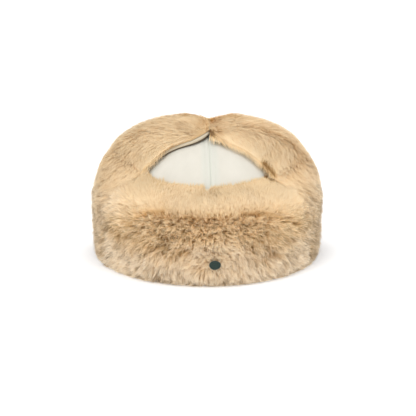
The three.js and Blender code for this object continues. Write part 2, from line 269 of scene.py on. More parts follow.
def stand_off(ear, point):
    """How far an ear flap's lining stands off the crown."""
    near = np.minimum(distance_to(BEHIND, point), distance_to(FRONT, point))
    edge = ear["lift"] * np.maximum(0, 1 - near / LIFT["width"]) ** 2
    edge = edge * smooth(point[..., 2], LIFT["from"], LIFT["to"])
    middle = np.maximum(0, 1 - np.abs(point[..., 0] - EAR_MEET_X) / TIP_LIFT["width"])
    return CLEARANCE + np.maximum(edge, TIP_LIFT["height"] * np.sqrt(middle))


# Making meshes
def build_mesh(name, points, corners, material, sizes=None, uv=None, values=None, normals=None,
               smoothed=True):
    """An object from points in millimetres and its faces' corners, four a face unless sizes are given."""
    mesh = bpy.data.meshes.new(name)
    points = np.asarray(points, np.float64).reshape(-1, 3)
    placed = (points * MM + CENTRE).astype(np.float32)
    corners = np.asarray(corners, np.int32).ravel()
    sizes = np.full(len(corners) // 4, 4) if sizes is None else np.asarray(sizes)
    mesh.vertices.add(len(placed))
    mesh.vertices.foreach_set("co", placed.ravel())
    mesh.loops.add(len(corners))
    mesh.loops.foreach_set("vertex_index", corners)
    mesh.polygons.add(len(sizes))
    mesh.polygons.foreach_set("loop_start", np.concatenate([[0], np.cumsum(sizes)[:-1]]).astype(np.int32))
    mesh.polygons.foreach_set("use_smooth", np.full(len(sizes), smoothed))
    mesh.update(calc_edges=True)
    for key, per_point in (values or {}).items():
        layer = mesh.attributes.new(key, "FLOAT", "POINT")
        layer.data.foreach_set("value", np.asarray(per_point, np.float32).ravel())
    for key, per_point in (uv or {}).items():
        layer = mesh.uv_layers.new(name=key)
        layer.data.foreach_set("uv", np.asarray(per_point, np.float32)[corners].ravel())
    if normals is not None:
        mesh.normals_split_custom_set_from_vertices(unit(normals).reshape(-1, 3).tolist())
    mesh.materials.append(material)
    piece = bpy.data.objects.new(name, mesh)
    bpy.context.scene.collection.objects.link(piece)
    return piece


def grid_faces(rows, columns, around=False, start=0):
    """Four corners for each cell of a grid of points."""
    i, j = np.meshgrid(np.arange(rows - 1), np.arange(columns - (0 if around else 1)), indexing="ij")
    k = (j + 1) % columns
    cells = np.stack([i * columns + j, i * columns + k, (i + 1) * columns + k, (i + 1) * columns + j], -1)
    return cells.reshape(-1, 4) + start


def closed_slab(outer, inner, flipped=False):
    """Points and faces of a closed solid between two grids of points."""
    if flipped:
        outer, inner = outer[:, ::-1], inner[:, ::-1]
    rows, columns = outer.shape[:2]
    count = rows * columns
    top = grid_faces(rows, columns)
    under = grid_faces(rows, columns)[:, ::-1] + count
    index = np.arange(count).reshape(rows, columns)
    rim = np.concatenate([index[0], index[1:, -1], index[-1, -2::-1], index[-2:0:-1, 0]])
    after = np.roll(rim, -1)
    side = np.stack([rim, rim + count, after + count, after], -1)
    points = np.concatenate([outer.reshape(-1, 3), inner.reshape(-1, 3)])
    return points, np.concatenate([top, under, side])


def stitches(path, normals, pitch=3.1, length=2.4, width=0.5, height=0.34, sag=0.8, raised=0.25):
    """Small threads that lie along a path, one after another, as points and faces. Their ends sag into
    the cloth, and their middles are raised by a share of their height."""
    steps = np.linalg.norm(np.diff(path, axis=0), axis=1)
    along = np.concatenate([[0], np.cumsum(steps)])
    starts = np.arange(pitch / 2, along[-1] - length, pitch)
    sections = np.array([0.0, 0.2, 0.8, 1.0])
    girth = np.array([0.35, 1.0, 1.0, 0.35])
    at = starts[:, None] + sections * length
    place = np.stack([np.interp(at, along, path[:, k]) for k in range(3)], -1)
    up = unit(np.stack([np.interp(at, along, normals[:, k]) for k in range(3)], -1))
    way = unit(np.gradient(place, axis=1))
    out = np.cross(way, up)
    turns = np.linspace(0, 2 * np.pi, 4, endpoint=False)
    drop = (girth - 1)[None, :, None] * height * sag
    ring = place[:, :, None] + girth[None, :, None, None] * (
        out[:, :, None] * (np.cos(turns)[:, None] * width / 2)
        + up[:, :, None] * (np.sin(turns)[:, None] * height / 2))
    ring = ring + (up * (drop + height * raised))[:, :, None]
    count, rows, columns = ring.shape[:3]
    one = grid_faces(rows, columns, around=True)
    faces = (one[None] + (np.arange(count) * rows * columns)[:, None, None]).reshape(-1, 4)
    return ring.reshape(-1, 3), faces


def closed_cap(outer, inner, ends):
    """Points, corners and face sizes of a closed solid between two bowls of points, each a grid of rings
    that narrows to one of two end points."""
    rows, columns = outer.shape[:2]
    count = rows * columns
    index = np.arange(columns)
    after = (index + 1) % columns
    last = (rows - 1) * columns
    bowl = grid_faces(rows, columns, around=True)
    rim = np.stack([after, index, index + count, after + count], -1)
    quads = np.concatenate([bowl, bowl[:, ::-1] + count, rim])
    fans = np.concatenate([
        np.stack([last + index, last + after, np.full(columns, 2 * count)], -1),
        np.stack([last + count + after, last + count + index, np.full(columns, 2 * count + 1)], -1)])
    points = np.concatenate([outer.reshape(-1, 3), inner.reshape(-1, 3), ends])
    return points, np.concatenate([quads.ravel(), fans.ravel()]), [4] * len(quads) + [3] * len(fans)


def joined(parts):
    """Several sets of points and faces as one."""
    points, faces, start = [], [], 0
    for part_points, part_faces in parts:
        points.append(part_points.reshape(-1, 3))
        faces.append(part_faces + start)
        start += len(points[-1])
    return np.concatenate(points), np.concatenate(faces)


# Materials
def linear(red, green, blue):
    """A colour with channels of 0 to 255, as a shader's colour."""
    shares = [channel / 255 for channel in (red, green, blue)]
    return (*[((s + 0.055) / 1.055) ** 2.4 if s > 0.04 else s / 12.92 for s in shares], 1.0)


class Nodes:
    """Builds one material's nodes with short calls."""

    def __init__(self, name, roughness, sheen=0.0, specular=0.3):
        self.material = bpy.data.materials.new(name)
        self.material.use_nodes = True
        self.tree = self.material.node_tree
        self.shader = self.tree.nodes["Principled BSDF"]
        self.shader.inputs["Roughness"].default_value = roughness
        self.shader.inputs["Specular IOR Level"].default_value = specular
        self.shader.inputs["Sheen Weight"].default_value = sheen
        self.shader.inputs["Sheen Roughness"].default_value = 0.5

    def add(self, kind, inputs=(), **settings):
        node = self.tree.nodes.new(kind)
        for key, value in settings.items():
            setattr(node, key, value)
        for key, value in dict(inputs).items():
            if isinstance(value, bpy.types.NodeSocket):
                self.tree.links.new(value, node.inputs[key])
            else:
                node.inputs[key].default_value = value
        return node

    def value(self, name):
        return self.add("ShaderNodeAttribute", attribute_name=name).outputs["Fac"]

    def cloth(self):
        return self.add("ShaderNodeUVMap", uv_map="cloth").outputs[0]

    def place(self):
        return self.add("ShaderNodeTexCoord").outputs["Object"]

    def maths(self, operation, a, b):
        return self.add("ShaderNodeMath", {0: a, 1: b}, operation=operation).outputs[0]

    def weigh(self, a, share_a, b, share_b):
        """Two values, each times its share, added."""
        return self.maths("ADD", self.maths("MULTIPLY", a, share_a), self.maths("MULTIPLY", b, share_b))

    def ribs(self, way, pitch):
        return self.maths("SINE", self.maths("MULTIPLY", way, 2 * math.pi / pitch), 0.0)

    def noise(self, vector, scale, detail=3.0, roughness=0.55):
        settings = {"Vector": vector, "Scale": scale, "Detail": detail, "Roughness": roughness}
        return self.add("ShaderNodeTexNoise", settings).outputs["Fac"]

    def ramp(self, value, stops):
        node = self.add("ShaderNodeValToRGB", {"Fac": value})
        while len(node.color_ramp.elements) < len(stops):
            node.color_ramp.elements.new(0.5)
        for element, (place, colour) in zip(node.color_ramp.elements, stops):
            element.position = place
            element.color = colour
        return node.outputs["Color"]

    def blend(self, share, a, b, mode="MIX"):
        node = self.add("ShaderNodeMix", {0: share, 6: a, 7: b}, data_type="RGBA", blend_type=mode)
        return node.outputs[2]

    def bump(self, height, strength, distance):
        node = self.add("ShaderNodeBump", {"Height": height, "Strength": strength, "Distance": distance})
        self.tree.links.new(node.outputs[0], self.shader.inputs["Normal"])

    def paint(self, colour, roughness=None):
        self.tree.links.new(colour, self.shader.inputs["Base Color"])
        if roughness is not None:
            self.tree.links.new(roughness, self.shader.inputs["Roughness"])
        return self.material


def twill_material(name, light, dark, pitch=0.9, second=(215, 216, 205)):
    """Cotton twill: fine diagonal ribs crossed by threads, uneven yarns and faint patches. Where the mesh's
    second value is 1, the cloth has its second colour."""
    nodes = Nodes(name, 0.88, sheen=0.15, specular=0.2)
    uv = nodes.cloth()
    split = nodes.add("ShaderNodeSeparateXYZ", {0: uv})
    wander = nodes.noise(uv, scale=0.9, detail=2.0)
    diagonal = nodes.maths("ADD", split.outputs[0], split.outputs[1])
    diagonal = nodes.maths("ADD", diagonal, nodes.maths("MULTIPLY", wander, 0.3))
    rib = nodes.ribs(diagonal, pitch)
    yarn = nodes.ribs(split.outputs[0], pitch * 0.55)
    fuzz = nodes.noise(uv, scale=3.5, detail=4.0)
    height = nodes.maths("ADD", nodes.weigh(rib, 0.35, yarn, 0.12), nodes.maths("MULTIPLY", fuzz, 0.5))
    patch = nodes.noise(uv, scale=0.035)
    share = nodes.weigh(patch, 0.55, height, 0.22)
    colour = nodes.ramp(share, [(0.18, linear(*dark)), (0.62, linear(*light))])
    colour = nodes.blend(nodes.value("second"), colour, linear(*second))
    nodes.bump(height, strength=0.55, distance=0.00022)
    rough = nodes.maths("ADD", 0.8, nodes.maths("MULTIPLY", fuzz, 0.15))
    return nodes.paint(colour, rough)


def thread_material(name, light, dark):
    """Sewing thread: fine twist and small changes of tone."""
    nodes = Nodes(name, 0.6, sheen=0.2, specular=0.35)
    place = nodes.place()
    twist = nodes.noise(place, scale=2600.0, detail=2.0)
    tone = nodes.noise(place, scale=240.0, detail=2.0)
    colour = nodes.ramp(nodes.weigh(twist, 0.5, tone, 0.5), [(0.3, linear(*dark)), (0.7, linear(*light))])
    nodes.bump(twist, strength=0.4, distance=0.0001)
    return nodes.paint(colour)


def strand_material(name):
    """Fur strands. Each strand carries its place from root to tip, its tone and its warmth."""
    nodes = Nodes(name, 0.65, sheen=0.0, specular=0.2)
    along = nodes.value("along")
    grey = nodes.ramp(along, [(0.0, linear(136, 98, 58)), (0.35, linear(204, 168, 120)),
                              (0.7, linear(238, 216, 182)), (1.0, linear(255, 244, 224))])
    gold = nodes.ramp(along, [(0.0, linear(170, 124, 72)), (0.35, linear(224, 184, 126)),
                              (0.7, linear(250, 222, 174)), (1.0, linear(255, 238, 204))])
    colour = nodes.blend(nodes.value("warmth"), grey, gold)
    tone = nodes.ramp(nodes.value("tone"), [(0.0, (0.36, 0.28, 0.2, 1)), (0.5, (0.88, 0.84, 0.79, 1)),
                                            (1.0, (1.12, 1.1, 1.08, 1))])
    return nodes.paint(nodes.blend(1.0, colour, tone, "MULTIPLY"))


def pelt_material(name):
    """The dense underfur that the strands stand in, darker where the fur is fluffy and at the spots of
    painted shade.
    """
    nodes = Nodes(name, 0.95, sheen=0.3, specular=0.1)
    place = nodes.place()
    fine = nodes.noise(place, scale=900.0, detail=4.0)
    share = nodes.weigh(fine, 0.6, nodes.noise(place, scale=70.0), 0.4)
    dark = nodes.ramp(share, [(0.3, linear(134, 98, 60)), (0.7, linear(190, 152, 104))])
    light = nodes.ramp(share, [(0.3, linear(212, 176, 126)), (0.7, linear(240, 210, 162))])
    nodes.bump(fine, strength=0.8, distance=0.0012)
    return nodes.paint(nodes.blend(nodes.value("fluffy"), light, dark))


def badge_material(name):
    """Dark green satin stitch."""
    nodes = Nodes(name, 0.5, sheen=0.25, specular=0.4)
    uv = nodes.cloth()
    tone = nodes.noise(uv, scale=1.1)
    fine = nodes.noise(uv, scale=6.0)
    share = nodes.weigh(tone, 0.6, fine, 0.4)
    colour = nodes.ramp(share, [(0.3, linear(8, 30, 24)), (0.7, linear(22, 56, 44))])
    nodes.bump(fine, strength=0.5, distance=0.00015)
    return nodes.paint(colour)


def snap_material(name):
    """Slightly scuffed satin plastic."""
    nodes = Nodes(name, 0.35, specular=0.5)
    scuff = nodes.noise(nodes.place(), scale=700.0, detail=5.0)
    colour = nodes.ramp(scuff, [(0.35, linear(205, 200, 188)), (0.65, linear(222, 218, 208))])
    rough = nodes.maths("ADD", 0.28, nodes.maths("MULTIPLY", scuff, 0.25))
    nodes.bump(scuff, strength=0.15, distance=0.0001)
    return nodes.paint(colour, rough)


TWILL = twill_material("crown_twill", (231, 226, 214), (218, 213, 200))
PEAK_TWILL = twill_material("peak_twill", (233, 229, 216), (220, 216, 201))
# The lining's second colour is painted shadow, for its inner face and for the strip under its edges.
LINING = twill_material("lining_cloth", (224, 211, 186), (204, 190, 164), pitch=0.6, second=(96, 80, 60))
THREAD = thread_material("seam_thread", (228, 226, 212), (200, 198, 182))
STRANDS = strand_material("fur_strands")
PELT = pelt_material("fur_pelt")
GREEN = badge_material("badge_thread")


def put(piece, slot, *nodes):
    """Rides a piece on the cap's one body and hides the nodes that it stands for. Its slot is not used."""
    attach(piece, "root")
    if nodes:
        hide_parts(*nodes)
    return piece


# The crown's cloth
SEAM_STEPS = np.array([0, 0.35, 0.8, 1.4, 2.2, 3.2, 4.3, 5.3, 6.4, 8.5])
PANEL_STEPS = 16
CROWN_LEVELS = np.linspace(0, 0.985, 62)
CLOTH_UV = {"around": 92.0, "up": 170.0, "top": 172.0}
CLOTH_SUNK = 0.3
SWELL = [(0.25, 46, 11)]
GROOVE = {"most": -0.8, "width": 0.55}
RIDGE = {"most": 0.22, "width": 1.6, "middle": 2.8}
PUCKER = {"most": 0.12, "width": 2.5, "middle": 4.5}
PUCKER_TURNS = 0.75
PUCKER_SWAY = 3.0
SEAM_SHADE = [{"most": 0.6, "width": 9.0, "power": 8}, {"most": 0.4, "width": 0.6}]
SEAM_STITCH_LEVELS = np.linspace(0.01, 0.93, 220)
RIM_STITCH_TURNS = np.linspace(0, 2 * math.pi, 500)
RIM_STITCH_LEVEL = 0.035
STITCH_SUNK = {"seam": 0.02, "rim": 0.25, "peak": 0.3, "lining": 0.12}


def seam_turns():
    """Each panel's first and last seam, as angles."""
    ends = np.radians(SEAMS + [SEAMS[0] + 360])
    return list(zip(ends[:-1], ends[1:]))


def radius_at(level, least):
    """About how far the crown's face lies from its middle line at a level."""
    return np.maximum(least, 0.9 * np.abs(crown_at(0.0, level)[0][..., 1]))


def panel_turns(level, first, last):
    """Angles across one panel at a level, closest together at its seams, and how far each lies from one."""
    radius = radius_at(level, 2.0)
    half = (last - first) / 2 * radius
    near = SEAM_STEPS * min(1, half / (SEAM_STEPS[-1] + 3))
    rising = np.concatenate([near, np.linspace(near[-1], half, PANEL_STEPS // 2 + 1)[1:]])
    both = np.concatenate([rising, (2 * half - rising)[-2:0:-1]])
    return first + both / radius, np.minimum(both, 2 * half - both)


def cloth_lift(point, turn, gap):
    """How far the cloth stands off the crown's plain form: seams drawn in with puckers beside them, and a
    soft swell."""
    ripple = np.sin(point[:, 2] * PUCKER_TURNS + PUCKER_SWAY * np.sin(turn * 3))
    seam = hump(gap, **GROOVE) + hump(gap, **RIDGE) + hump(gap, **PUCKER) * ripple
    return seam + layers(point, SWELL) - CLOTH_SUNK


def crown_piece():
    outer, inner, uv, shade = [], [], [], []
    for row, level in enumerate(CROWN_LEVELS):
        turns, gaps = zip(*[panel_turns(level, *ends) for ends in seam_turns()])
        turn, gap = np.concatenate(turns), np.concatenate(gaps)
        point, normal = crown_at(turn, level)
        lift = cloth_lift(point, turn, gap) * smooth(1 - level, 0.0, 0.05)
        outer.append(point + normal * lift[:, None])
        inner.append(point - normal * CROWN_WALL)
        height = np.full_like(turn, row * CLOTH_UV["up"] / len(CROWN_LEVELS))
        uv.append(np.stack([turn * CLOTH_UV["around"], height], -1))
        shade.append(sum(hump(gap, **part) for part in SEAM_SHADE))
    tops = np.array([[0, 0, CROWN_TOP], [0, 0, CROWN_TOP - CROWN_WALL]])
    points, corners, sizes = closed_cap(np.array(outer), np.array(inner), tops)
    uv = np.concatenate(uv + uv + [np.array([[0, CLOTH_UV["top"]]] * 2)])
    second = np.concatenate([*shade, *shade, [0, 0]])
    piece = build_mesh("crown_cloth", points, corners, TWILL, sizes, {"cloth": uv}, {"second": second})
    return put(piece, "crown_twill", *PANEL_NODES)


def stitching(name, parts, slot):
    """One piece of all the stitches in a list."""
    points, faces = joined(parts)
    return put(build_mesh(name, points, faces, THREAD), slot)


def crown_stitching():
    parts = []
    for seam in np.radians(SEAMS):
        for side in (-1, 1):
            turn = seam + side * STITCH_OFFSET / radius_at(SEAM_STITCH_LEVELS, 8.0)
            point, normal = crown_at(turn, SEAM_STITCH_LEVELS)
            lift = cloth_lift(point, turn, STITCH_OFFSET) - STITCH_SUNK["seam"]
            parts.append(stitches(point + normal * lift[:, None], normal))
    point, normal = crown_at(RIM_STITCH_TURNS, RIM_STITCH_LEVEL)
    parts.append(stitches(point - normal * STITCH_SUNK["rim"], normal))
    return stitching("crown_stitching", parts, "crown_twill")


# The peak
PEAK_ROUNDING = 0.035
PEAK_FORWARD_SLOPE = 0.08
PEAK_ACROSS = np.linspace(-1, 1, 91)
PEAK_EDGE = 1 - PEAK_ROUNDING * np.cos(np.linspace(0.1, np.pi / 2, 6))
PEAK_OUT = np.concatenate([np.linspace(0, 0.96, 52), PEAK_EDGE])
PEAK_DENT = {"most": -0.22, "width": 0.009}
PEAK_PUCKER = [(0.06, 9, 21)]
PEAK_SUNK = 0.1
PEAK_STITCH_ACROSS = np.linspace(-0.985, 0.985, 400)


def peak_at(across, out, side):
    """Points of the peak's upper (1) or lower (-1) face, and their rough normals."""
    across, out = np.broadcast_arrays(np.asarray(across, float), np.asarray(out, float))
    turn = PEAK_CROWN_ANGLE * across
    sweep = PEAK_EDGE_ANGLE * across
    length = np.where(np.cos(sweep) > 0, PEAK_LENGTH_AHEAD, PEAK_LENGTH_BEHIND)
    x = mix((CROWN_HALF_WIDTH + CLEARANCE) * np.sin(turn), PEAK_HALF_WIDTH * np.sin(sweep), out)
    y = mix((CROWN_HALF_DEPTH + CLEARANCE) * np.cos(turn), PEAK_WIDEST_Y + length * np.cos(sweep), out)
    bend = 1 - (x / PEAK_HALF_WIDTH) ** 2
    near_edge = np.clip(out - (1 - PEAK_ROUNDING), 0, 1) / PEAK_ROUNDING
    half = PEAK_THICKNESS / 2 * np.sqrt(np.clip(1 - near_edge**2, 0, 1))
    z = arch_at(x) - PEAK_DIP * out * bend + side * half
    slope = 2 * (PEAK_ARCH - PEAK_DIP * out) * x / PEAK_HALF_WIDTH**2
    normal = unit(np.stack([slope, np.full_like(x, PEAK_FORWARD_SLOPE), np.ones_like(x)], -1)) * side
    return np.stack([x, y, z], -1), normal


def peak_piece():
    out = PEAK_OUT[:, None]
    outer, _ = peak_at(PEAK_ACROSS[None, :], out, 1)
    inner, _ = peak_at(PEAK_ACROSS[None, :], out, -1)
    dent = sum(hump(out, middle=row, **PEAK_DENT) for row in PEAK_STITCH_ROWS)
    outer[..., 2] += dent + layers(outer, PEAK_PUCKER) - PEAK_SUNK
    inner[..., 2] -= dent - PEAK_SUNK
    points, faces = closed_slab(outer, inner)
    piece = build_mesh("peak_cloth", points, faces, PEAK_TWILL, uv={"cloth": points[:, :2]})
    return put(piece, "peak_twill", "peak")


def peak_stitching():
    parts = []
    for out in PEAK_STITCH_ROWS:
        for side in (1, -1):
            point, normal = peak_at(PEAK_STITCH_ACROSS, out, side)
            parts.append(stitches(point - normal * STITCH_SUNK["peak"], normal))
    return stitching("peak_stitching", parts, "peak_twill")


# The flaps' linings
LINING_ACROSS = np.linspace(0, 1, 51)[None, :]
LINING_UP = np.linspace(0.02, 1, 91)[:, None]
LINING_EDGE = {"across": 0.012, "up": 0.006, "least": 0.06}
LINING_RIPPLE = [(0.06, 14, 31)]
LINING_ROLL = {"most": 0.9, "width": 0.03}
LINING_ROLL_OFF = (0.3, 1.5)
LINING_UV = {"across": 90.0, "up": 210.0}
LINING_UNDER_SHADE = 0.15
LINING_STITCH_ACROSS = (0.02, 0.98)
LINING_STITCH_UP = np.linspace(0.05, 0.97, 300)
# A dark strip under the lining's edges: painted shadow where the flap's edge stands off the crown.
SHADOW_STRIP_UP = np.linspace(0.56, 0.995, 160)[:, None]
SHADOW_STRIP_ACROSS = np.array([[0.0, 0.004, 0.03]])
SHADOW_STRIP = {"margin": 0.15, "below": 0.8, "top": 0.6, "low": 0.42}


def shadow_strip_piece(side):
    """A narrow dark strip of painted shadow that fills the gap between the lining's edges and the crown."""
    ear = EARS[side]
    parts = []
    for edge, way in ((0.0, 1), (1.0, -1)):
        across = edge + way * SHADOW_STRIP_ACROSS
        point, normal, _ = ear_place(ear, across, SHADOW_STRIP_UP, LINING_MARGIN + SHADOW_STRIP["margin"])
        top = point + normal * np.maximum(stand_off(ear, point)[..., None] - SHADOW_STRIP["below"], SHADOW_STRIP["top"])
        parts.append(closed_slab(top, point + normal * SHADOW_STRIP["low"], ear["sign"] * way < 0))
    points, faces = joined(parts)
    piece = build_mesh(f"ear_lining_shadow_strip_{side}", points, faces, LINING, uv={"cloth": points[:, :2]},
                       values={"second": np.ones(len(points))})
    return put(piece, "flap_lining")


def lining_piece(side):
    ear = EARS[side]
    point, normal, _ = ear_place(ear, LINING_ACROSS, LINING_UP, LINING_MARGIN)
    off = stand_off(ear, point)[..., None]
    from_side = np.minimum(LINING_ACROSS, 1 - LINING_ACROSS)
    edge = np.minimum(from_side / LINING_EDGE["across"], 1)
    edge = edge * np.minimum((1 - LINING_UP) / LINING_EDGE["up"], 1)
    thin = np.sqrt(np.clip(edge, LINING_EDGE["least"], 1))[..., None]
    ripple = layers(point, LINING_RIPPLE)[..., None] * thin
    outer = point + normal * (off + LINING_THICKNESS * (0.5 + 0.45 * thin) + ripple)
    low, high = LINING_ROLL_OFF
    rolled = ear["shadow_under"] * hump(from_side, **LINING_ROLL)[..., None]
    rolled = rolled * np.clip((off - CLEARANCE - low) / (high - low), 0, 1)
    inner = point + normal * (off + LINING_THICKNESS * (0.5 - 0.45 * thin) - rolled)
    points, faces = closed_slab(outer, inner, ear["sign"] < 0)
    uv = np.broadcast_arrays(LINING_ACROSS * LINING_UV["across"], LINING_UP * LINING_UV["up"])
    uv = np.tile(np.stack(uv, -1).reshape(-1, 2), (2, 1))
    # Painted shade: the lining's inner face is tinted towards the dark second colour.
    shade = np.repeat([0.0, LINING_UNDER_SHADE * ear["shadow_under"]], len(points) // 2)
    piece = build_mesh(f"ear_lining_cloth_{side}", points, faces, LINING, uv={"cloth": uv},
                       values={"second": shade})
    return put(piece, "flap_lining", f"ear_lining_{side}")


def lining_stitching(side):
    ear = EARS[side]
    parts = []
    for across in LINING_STITCH_ACROSS:
        point, normal, _ = ear_place(ear, across, LINING_STITCH_UP, LINING_MARGIN)
        lift = stand_off(ear, point)[..., None] + LINING_THICKNESS - STITCH_SUNK["lining"]
        parts.append(stitches(point + normal * lift, normal, width=0.42, height=0.26))
    return stitching(f"ear_lining_stitching_{side}", parts, "flap_lining")


# How the fur lies. Heights are above the floor. A pair is for close, even fur and for fluffy fur, and a row
# of noise has a strength, a wavelength and a seed.
PELT_DEPTH = 8.0
PELT_LEAST_SHARE = 0.4
PELT_RELIEF = [(0.7, 9, 61), (0.5, 4.5, 62)]
PELT_PLAIN_BELOW = 3.0
DARK_PELT = {"low": (22.0, 40.0), "high": (46.0, 60.0)}
LEAST_DEPTH = 0.8
ROOT_DEPTH = 0.92
STRAND_COUNTS = {"neck": (33000, 47000), "right": (31500, 27000), "left": (31500, 27000)}
GUARD = {"shares": (0.0, 0.36, 0.72, 1.0), "girths": (0.16, 0.16, 0.11), "reach": 1.0}
UNDER = {"shares": (0.0, 0.55, 1.0), "girths": (0.18, 0.15), "reach": 0.88}
TUFT = {"fine": 1.8, "coarse": 2.0}
FINE_TUFTS = {"from": 0.35, "waves": [(0.2, 12, 54)]}
LOCK = 11.0
LENGTH = {"strand": (13.0, 11.5), "own": (0.75, 1.2), "tuft": (0.8, 1.2), "edge": 30.0,
          "at_edge": {"neck": 0.27, "right": 0.7, "left": 0.6}}
NECK_EDGE = {"waves": [(0.2, 16, 55)], "factors": (0.85, 1.8), "shares": (0.75, 0.25)}
LEAN = {"least": 0.75, "more": 0.22, "lock": 0.2}
UPRIGHT = {"comb": 0.5, "lean": 0.5}
JITTER = (0.06, 0.2)
PULL = {"fur": (0.12, 0.66), "tuft": (0.8, 1.2), "own": (0.6, 1.1)}
CURL = {"tuft": (0.06, 0.6), "own": (0.06, 0.15)}
TALL = {"tuft": (0.2, 1.0), "lock": (0.1, 0.9), "own": (0.3, 0.8), "most": 2.6}
DROOP = {"tuft": (0.1, 1.0), "lock": (0.0, 0.8)}
BOW = 1.6
RISE_POWER = (1.7, 1.25)
OVERHANG = {"off": 2.0, "fall": 0.9, "least": 0.9}
FLOOR_GAP = {"least": 0.3, "tuft": 0.5, "tip": 0.4}
RIBBON = {"lean": 0.02, "twist": 0.6, "girth": (0.8, 1.2), "shading": 0.35}
TONE_BINS = 12
WARMTH_BINS = 5
BAKE_MARGIN = {"along": 0.02, "across": 0.1}
FLUFFY = {"neck": (55.0, 66.0), "ear": (58.0, 92.0)}
LEFT_RISE = {"height": 7.0, "from": 45.0, "to": 80.0}
WANDER = [(0.14, 42, 41), (0.05, 15, 42)]
FLUFFY_WANDER = [(0.4, 24, 43), (0.4, 10, 44)]
NECK_COMB = {"height": [0, 14, 26, 39, 50, 58, 66, 74], "down": [0.9, 0.85, 0.75, 0.55, 0.3, 0, -0.6, -0.9],
             "side": 0.8, "side_at": (0.18, 0.44)}
PARTING = {"side": 0.15, "width": 0.05, "heights": (76.0, 86.0)}
EAR_COMB = {"over": (74.0, 92.0), "top": (106.0, 115.0), "down": (0.9, 0.65), "low_side": 0.35,
            "back": {"right": (-0.95, -0.95), "left": (-0.85, -0.05)},
            "back_at": {"right": (-0.1, 0.75), "left": (0.0, 0.45)},
            "front": 0.5, "front_at": (0.55, 1.0), "tip": 0.1, "tip_at": (0.94, 1.0)}
EAR_SHORT_AT = (0.87, 0.94)
CREST = {"z": 61.0, "half_height": 8.0, "denser": 1.0, "longer": 0.25, "lighter": 0.18, "root_above": 4.0}
SLEEK = {"x": 8.0, "z": 24.0, "half_width": 20.0, "half_height": 14.0, "spread": 18.0, "down": 0.7,
         "flatter": 0.6, "denser": 1.5}
CROSSING = {"radius": 10.5, "half_width": 2.5, "share": 0.3}
PALE = {"x": 10.5, "z": 36.5, "half_width": 21.0, "half_height": 11.0, "flatter": 0.5, "lighter": 0.75,
        "cooler": 0.6}
BROWN = {"x": 1.0, "z": 9.0, "half_width": 14.0, "half_height": 6.0, "darker": 0.2}
BAND = {"x": 0.0, "z": 51.0, "half_width": 72.0, "half_height": 12.0, "tuft": 0.3, "lighter": 0.06,
        "warmer": 0.45}
LOW = {"heights": (18.0, 44.0), "lighter": 0.1, "tuft": 0.5, "cooler": 0.6}
LOW_MIDDLE = {"most": 0.38, "width": 45.0}
OUTSIDE = {"at": (72.0, 102.0), "darker": 0.35, "right_darker": 0.1, "fur": (0.4, 1.0), "cooler": 0.6}
# Spots of painted shade where the flaps meet and at the right flap's corner: the fur there is darker, browner
# and cooler.
PAINTED_SHADE_SPOTS = {"radius": 5.2, "darker": 0.6, "browner": 0.85, "cooler": 0.35, "left_of": 20.0,
         "at": [(53.5, -44.5, 91.5), (57.0, -44.0, 87.5), (60.5, -43.5, 83.5),
                (3.2, -31.0, 122.5), (5.0, -37.5, 119.5)]}
CLEFT_HEIGHTS = (70.0, 78.0)
CLEFT_SHORTER = {"middle": 1.5, "width": 5.0, "power": 4, "most": 0.3}
CLEFT_LIFT = {"middle": 1.5, "width": 6.0, "power": 4, "most": 0.6}
RIGHT_BULGE = {"middle": 80.0, "width": 12.0, "most": 1.4}
RIGHT_BULGE_AT = (70.0, 95.0)
TONE = {"middle": 0.64, "tuft": (0.05, 0.6), "lock": (0.02, 0.1), "own": (0.04, 0.14),
        "waves": [(0.05, 40, 51)], "fluffy_waves": [(0.09, 17, 52)],
        "upper": {"neck": -0.12, "right": 0.24, "left": 0.1}, "upper_at": (60.0, 84.0),
        "top": -0.14, "top_at": (92.0, 106.0)}
WARMTH = {"fluffy": 0.3, "waves": [(0.15, 30, 53)], "own": 0.1}
ROOT_LIFT = {"neck": 0.3, "ear": 0.4, "sleek": 0.5, "crest": 0.5, "pale": 0.6, "low": 0.42, "edge": 0.6}
LOW_LIFT_HEIGHTS = (16.0, 38.0)
# Painted light: the ear flaps' strands are lightened near their edges, where they lie in shade.
EDGE_LIFT = {"reach": 11.2, "width": 8.0, "heights": (74.0, 84.0)}
# Creases of the neck flap. Along them the strands are shorter and sink deeper, and their colour is painted
# darker and browner as shade.
CREASES = [  # each through places given as an angle round the cap from behind and a height
    [(-43, 48), (-38, 56), (-33, 62), (-24, 64)],
    [(-12, 61), (-7, 60)],
    [(19, 62.5), (32, 61), (41, 55), (53, 44)],
    [(-62, 42), (-52, 38), (-41, 40)],
    [(-9, 32), (-13, 33), (-16, 30)],
    [(-19, 36), (-23, 36), (-27, 34)],
    [(24, 23), (31, 26), (38, 24)],
]
CREASE = {"half_width": 1.6, "darker": 0.2, "browner": 0.4, "shorter": 0.3, "deeper": 1.6, "degree": 2.1}
FUR_HALF_WIDTH = 111.5
FUR_HALF_DEPTH = 133.5


def near_spot(point, spot):
    """1 at the middle of an oval spot on the back of the cap, falling to 0 round it."""
    x = (point[..., 0] - spot["x"]) / spot["half_width"]
    z = (point[..., 2] - spot["z"]) / spot["half_height"]
    return np.exp(-x**2 - z**2) * (point[..., 1] < 0)


def near_crease(point):
    """1 along the creases of the neck flap, falling to 0 beside them."""
    turn = np.degrees(np.arctan2(point[:, 0] / FUR_HALF_WIDTH, -point[:, 1] / FUR_HALF_DEPTH))
    place = np.stack([turn * CREASE["degree"], point[:, 2]], -1)
    near = np.full(len(point), np.inf)
    for crease in CREASES:
        ends = np.array(crease, float) * (CREASE["degree"], 1)
        for start, end in zip(ends[:-1], ends[1:]):
            way = end - start
            share = np.clip((place - start) @ way / (way @ way), 0, 1)
            near = np.minimum(near, np.linalg.norm(place - start - share[:, None] * way, axis=1))
    return hump(near, CREASE["half_width"]) * (point[:, 1] < 0)


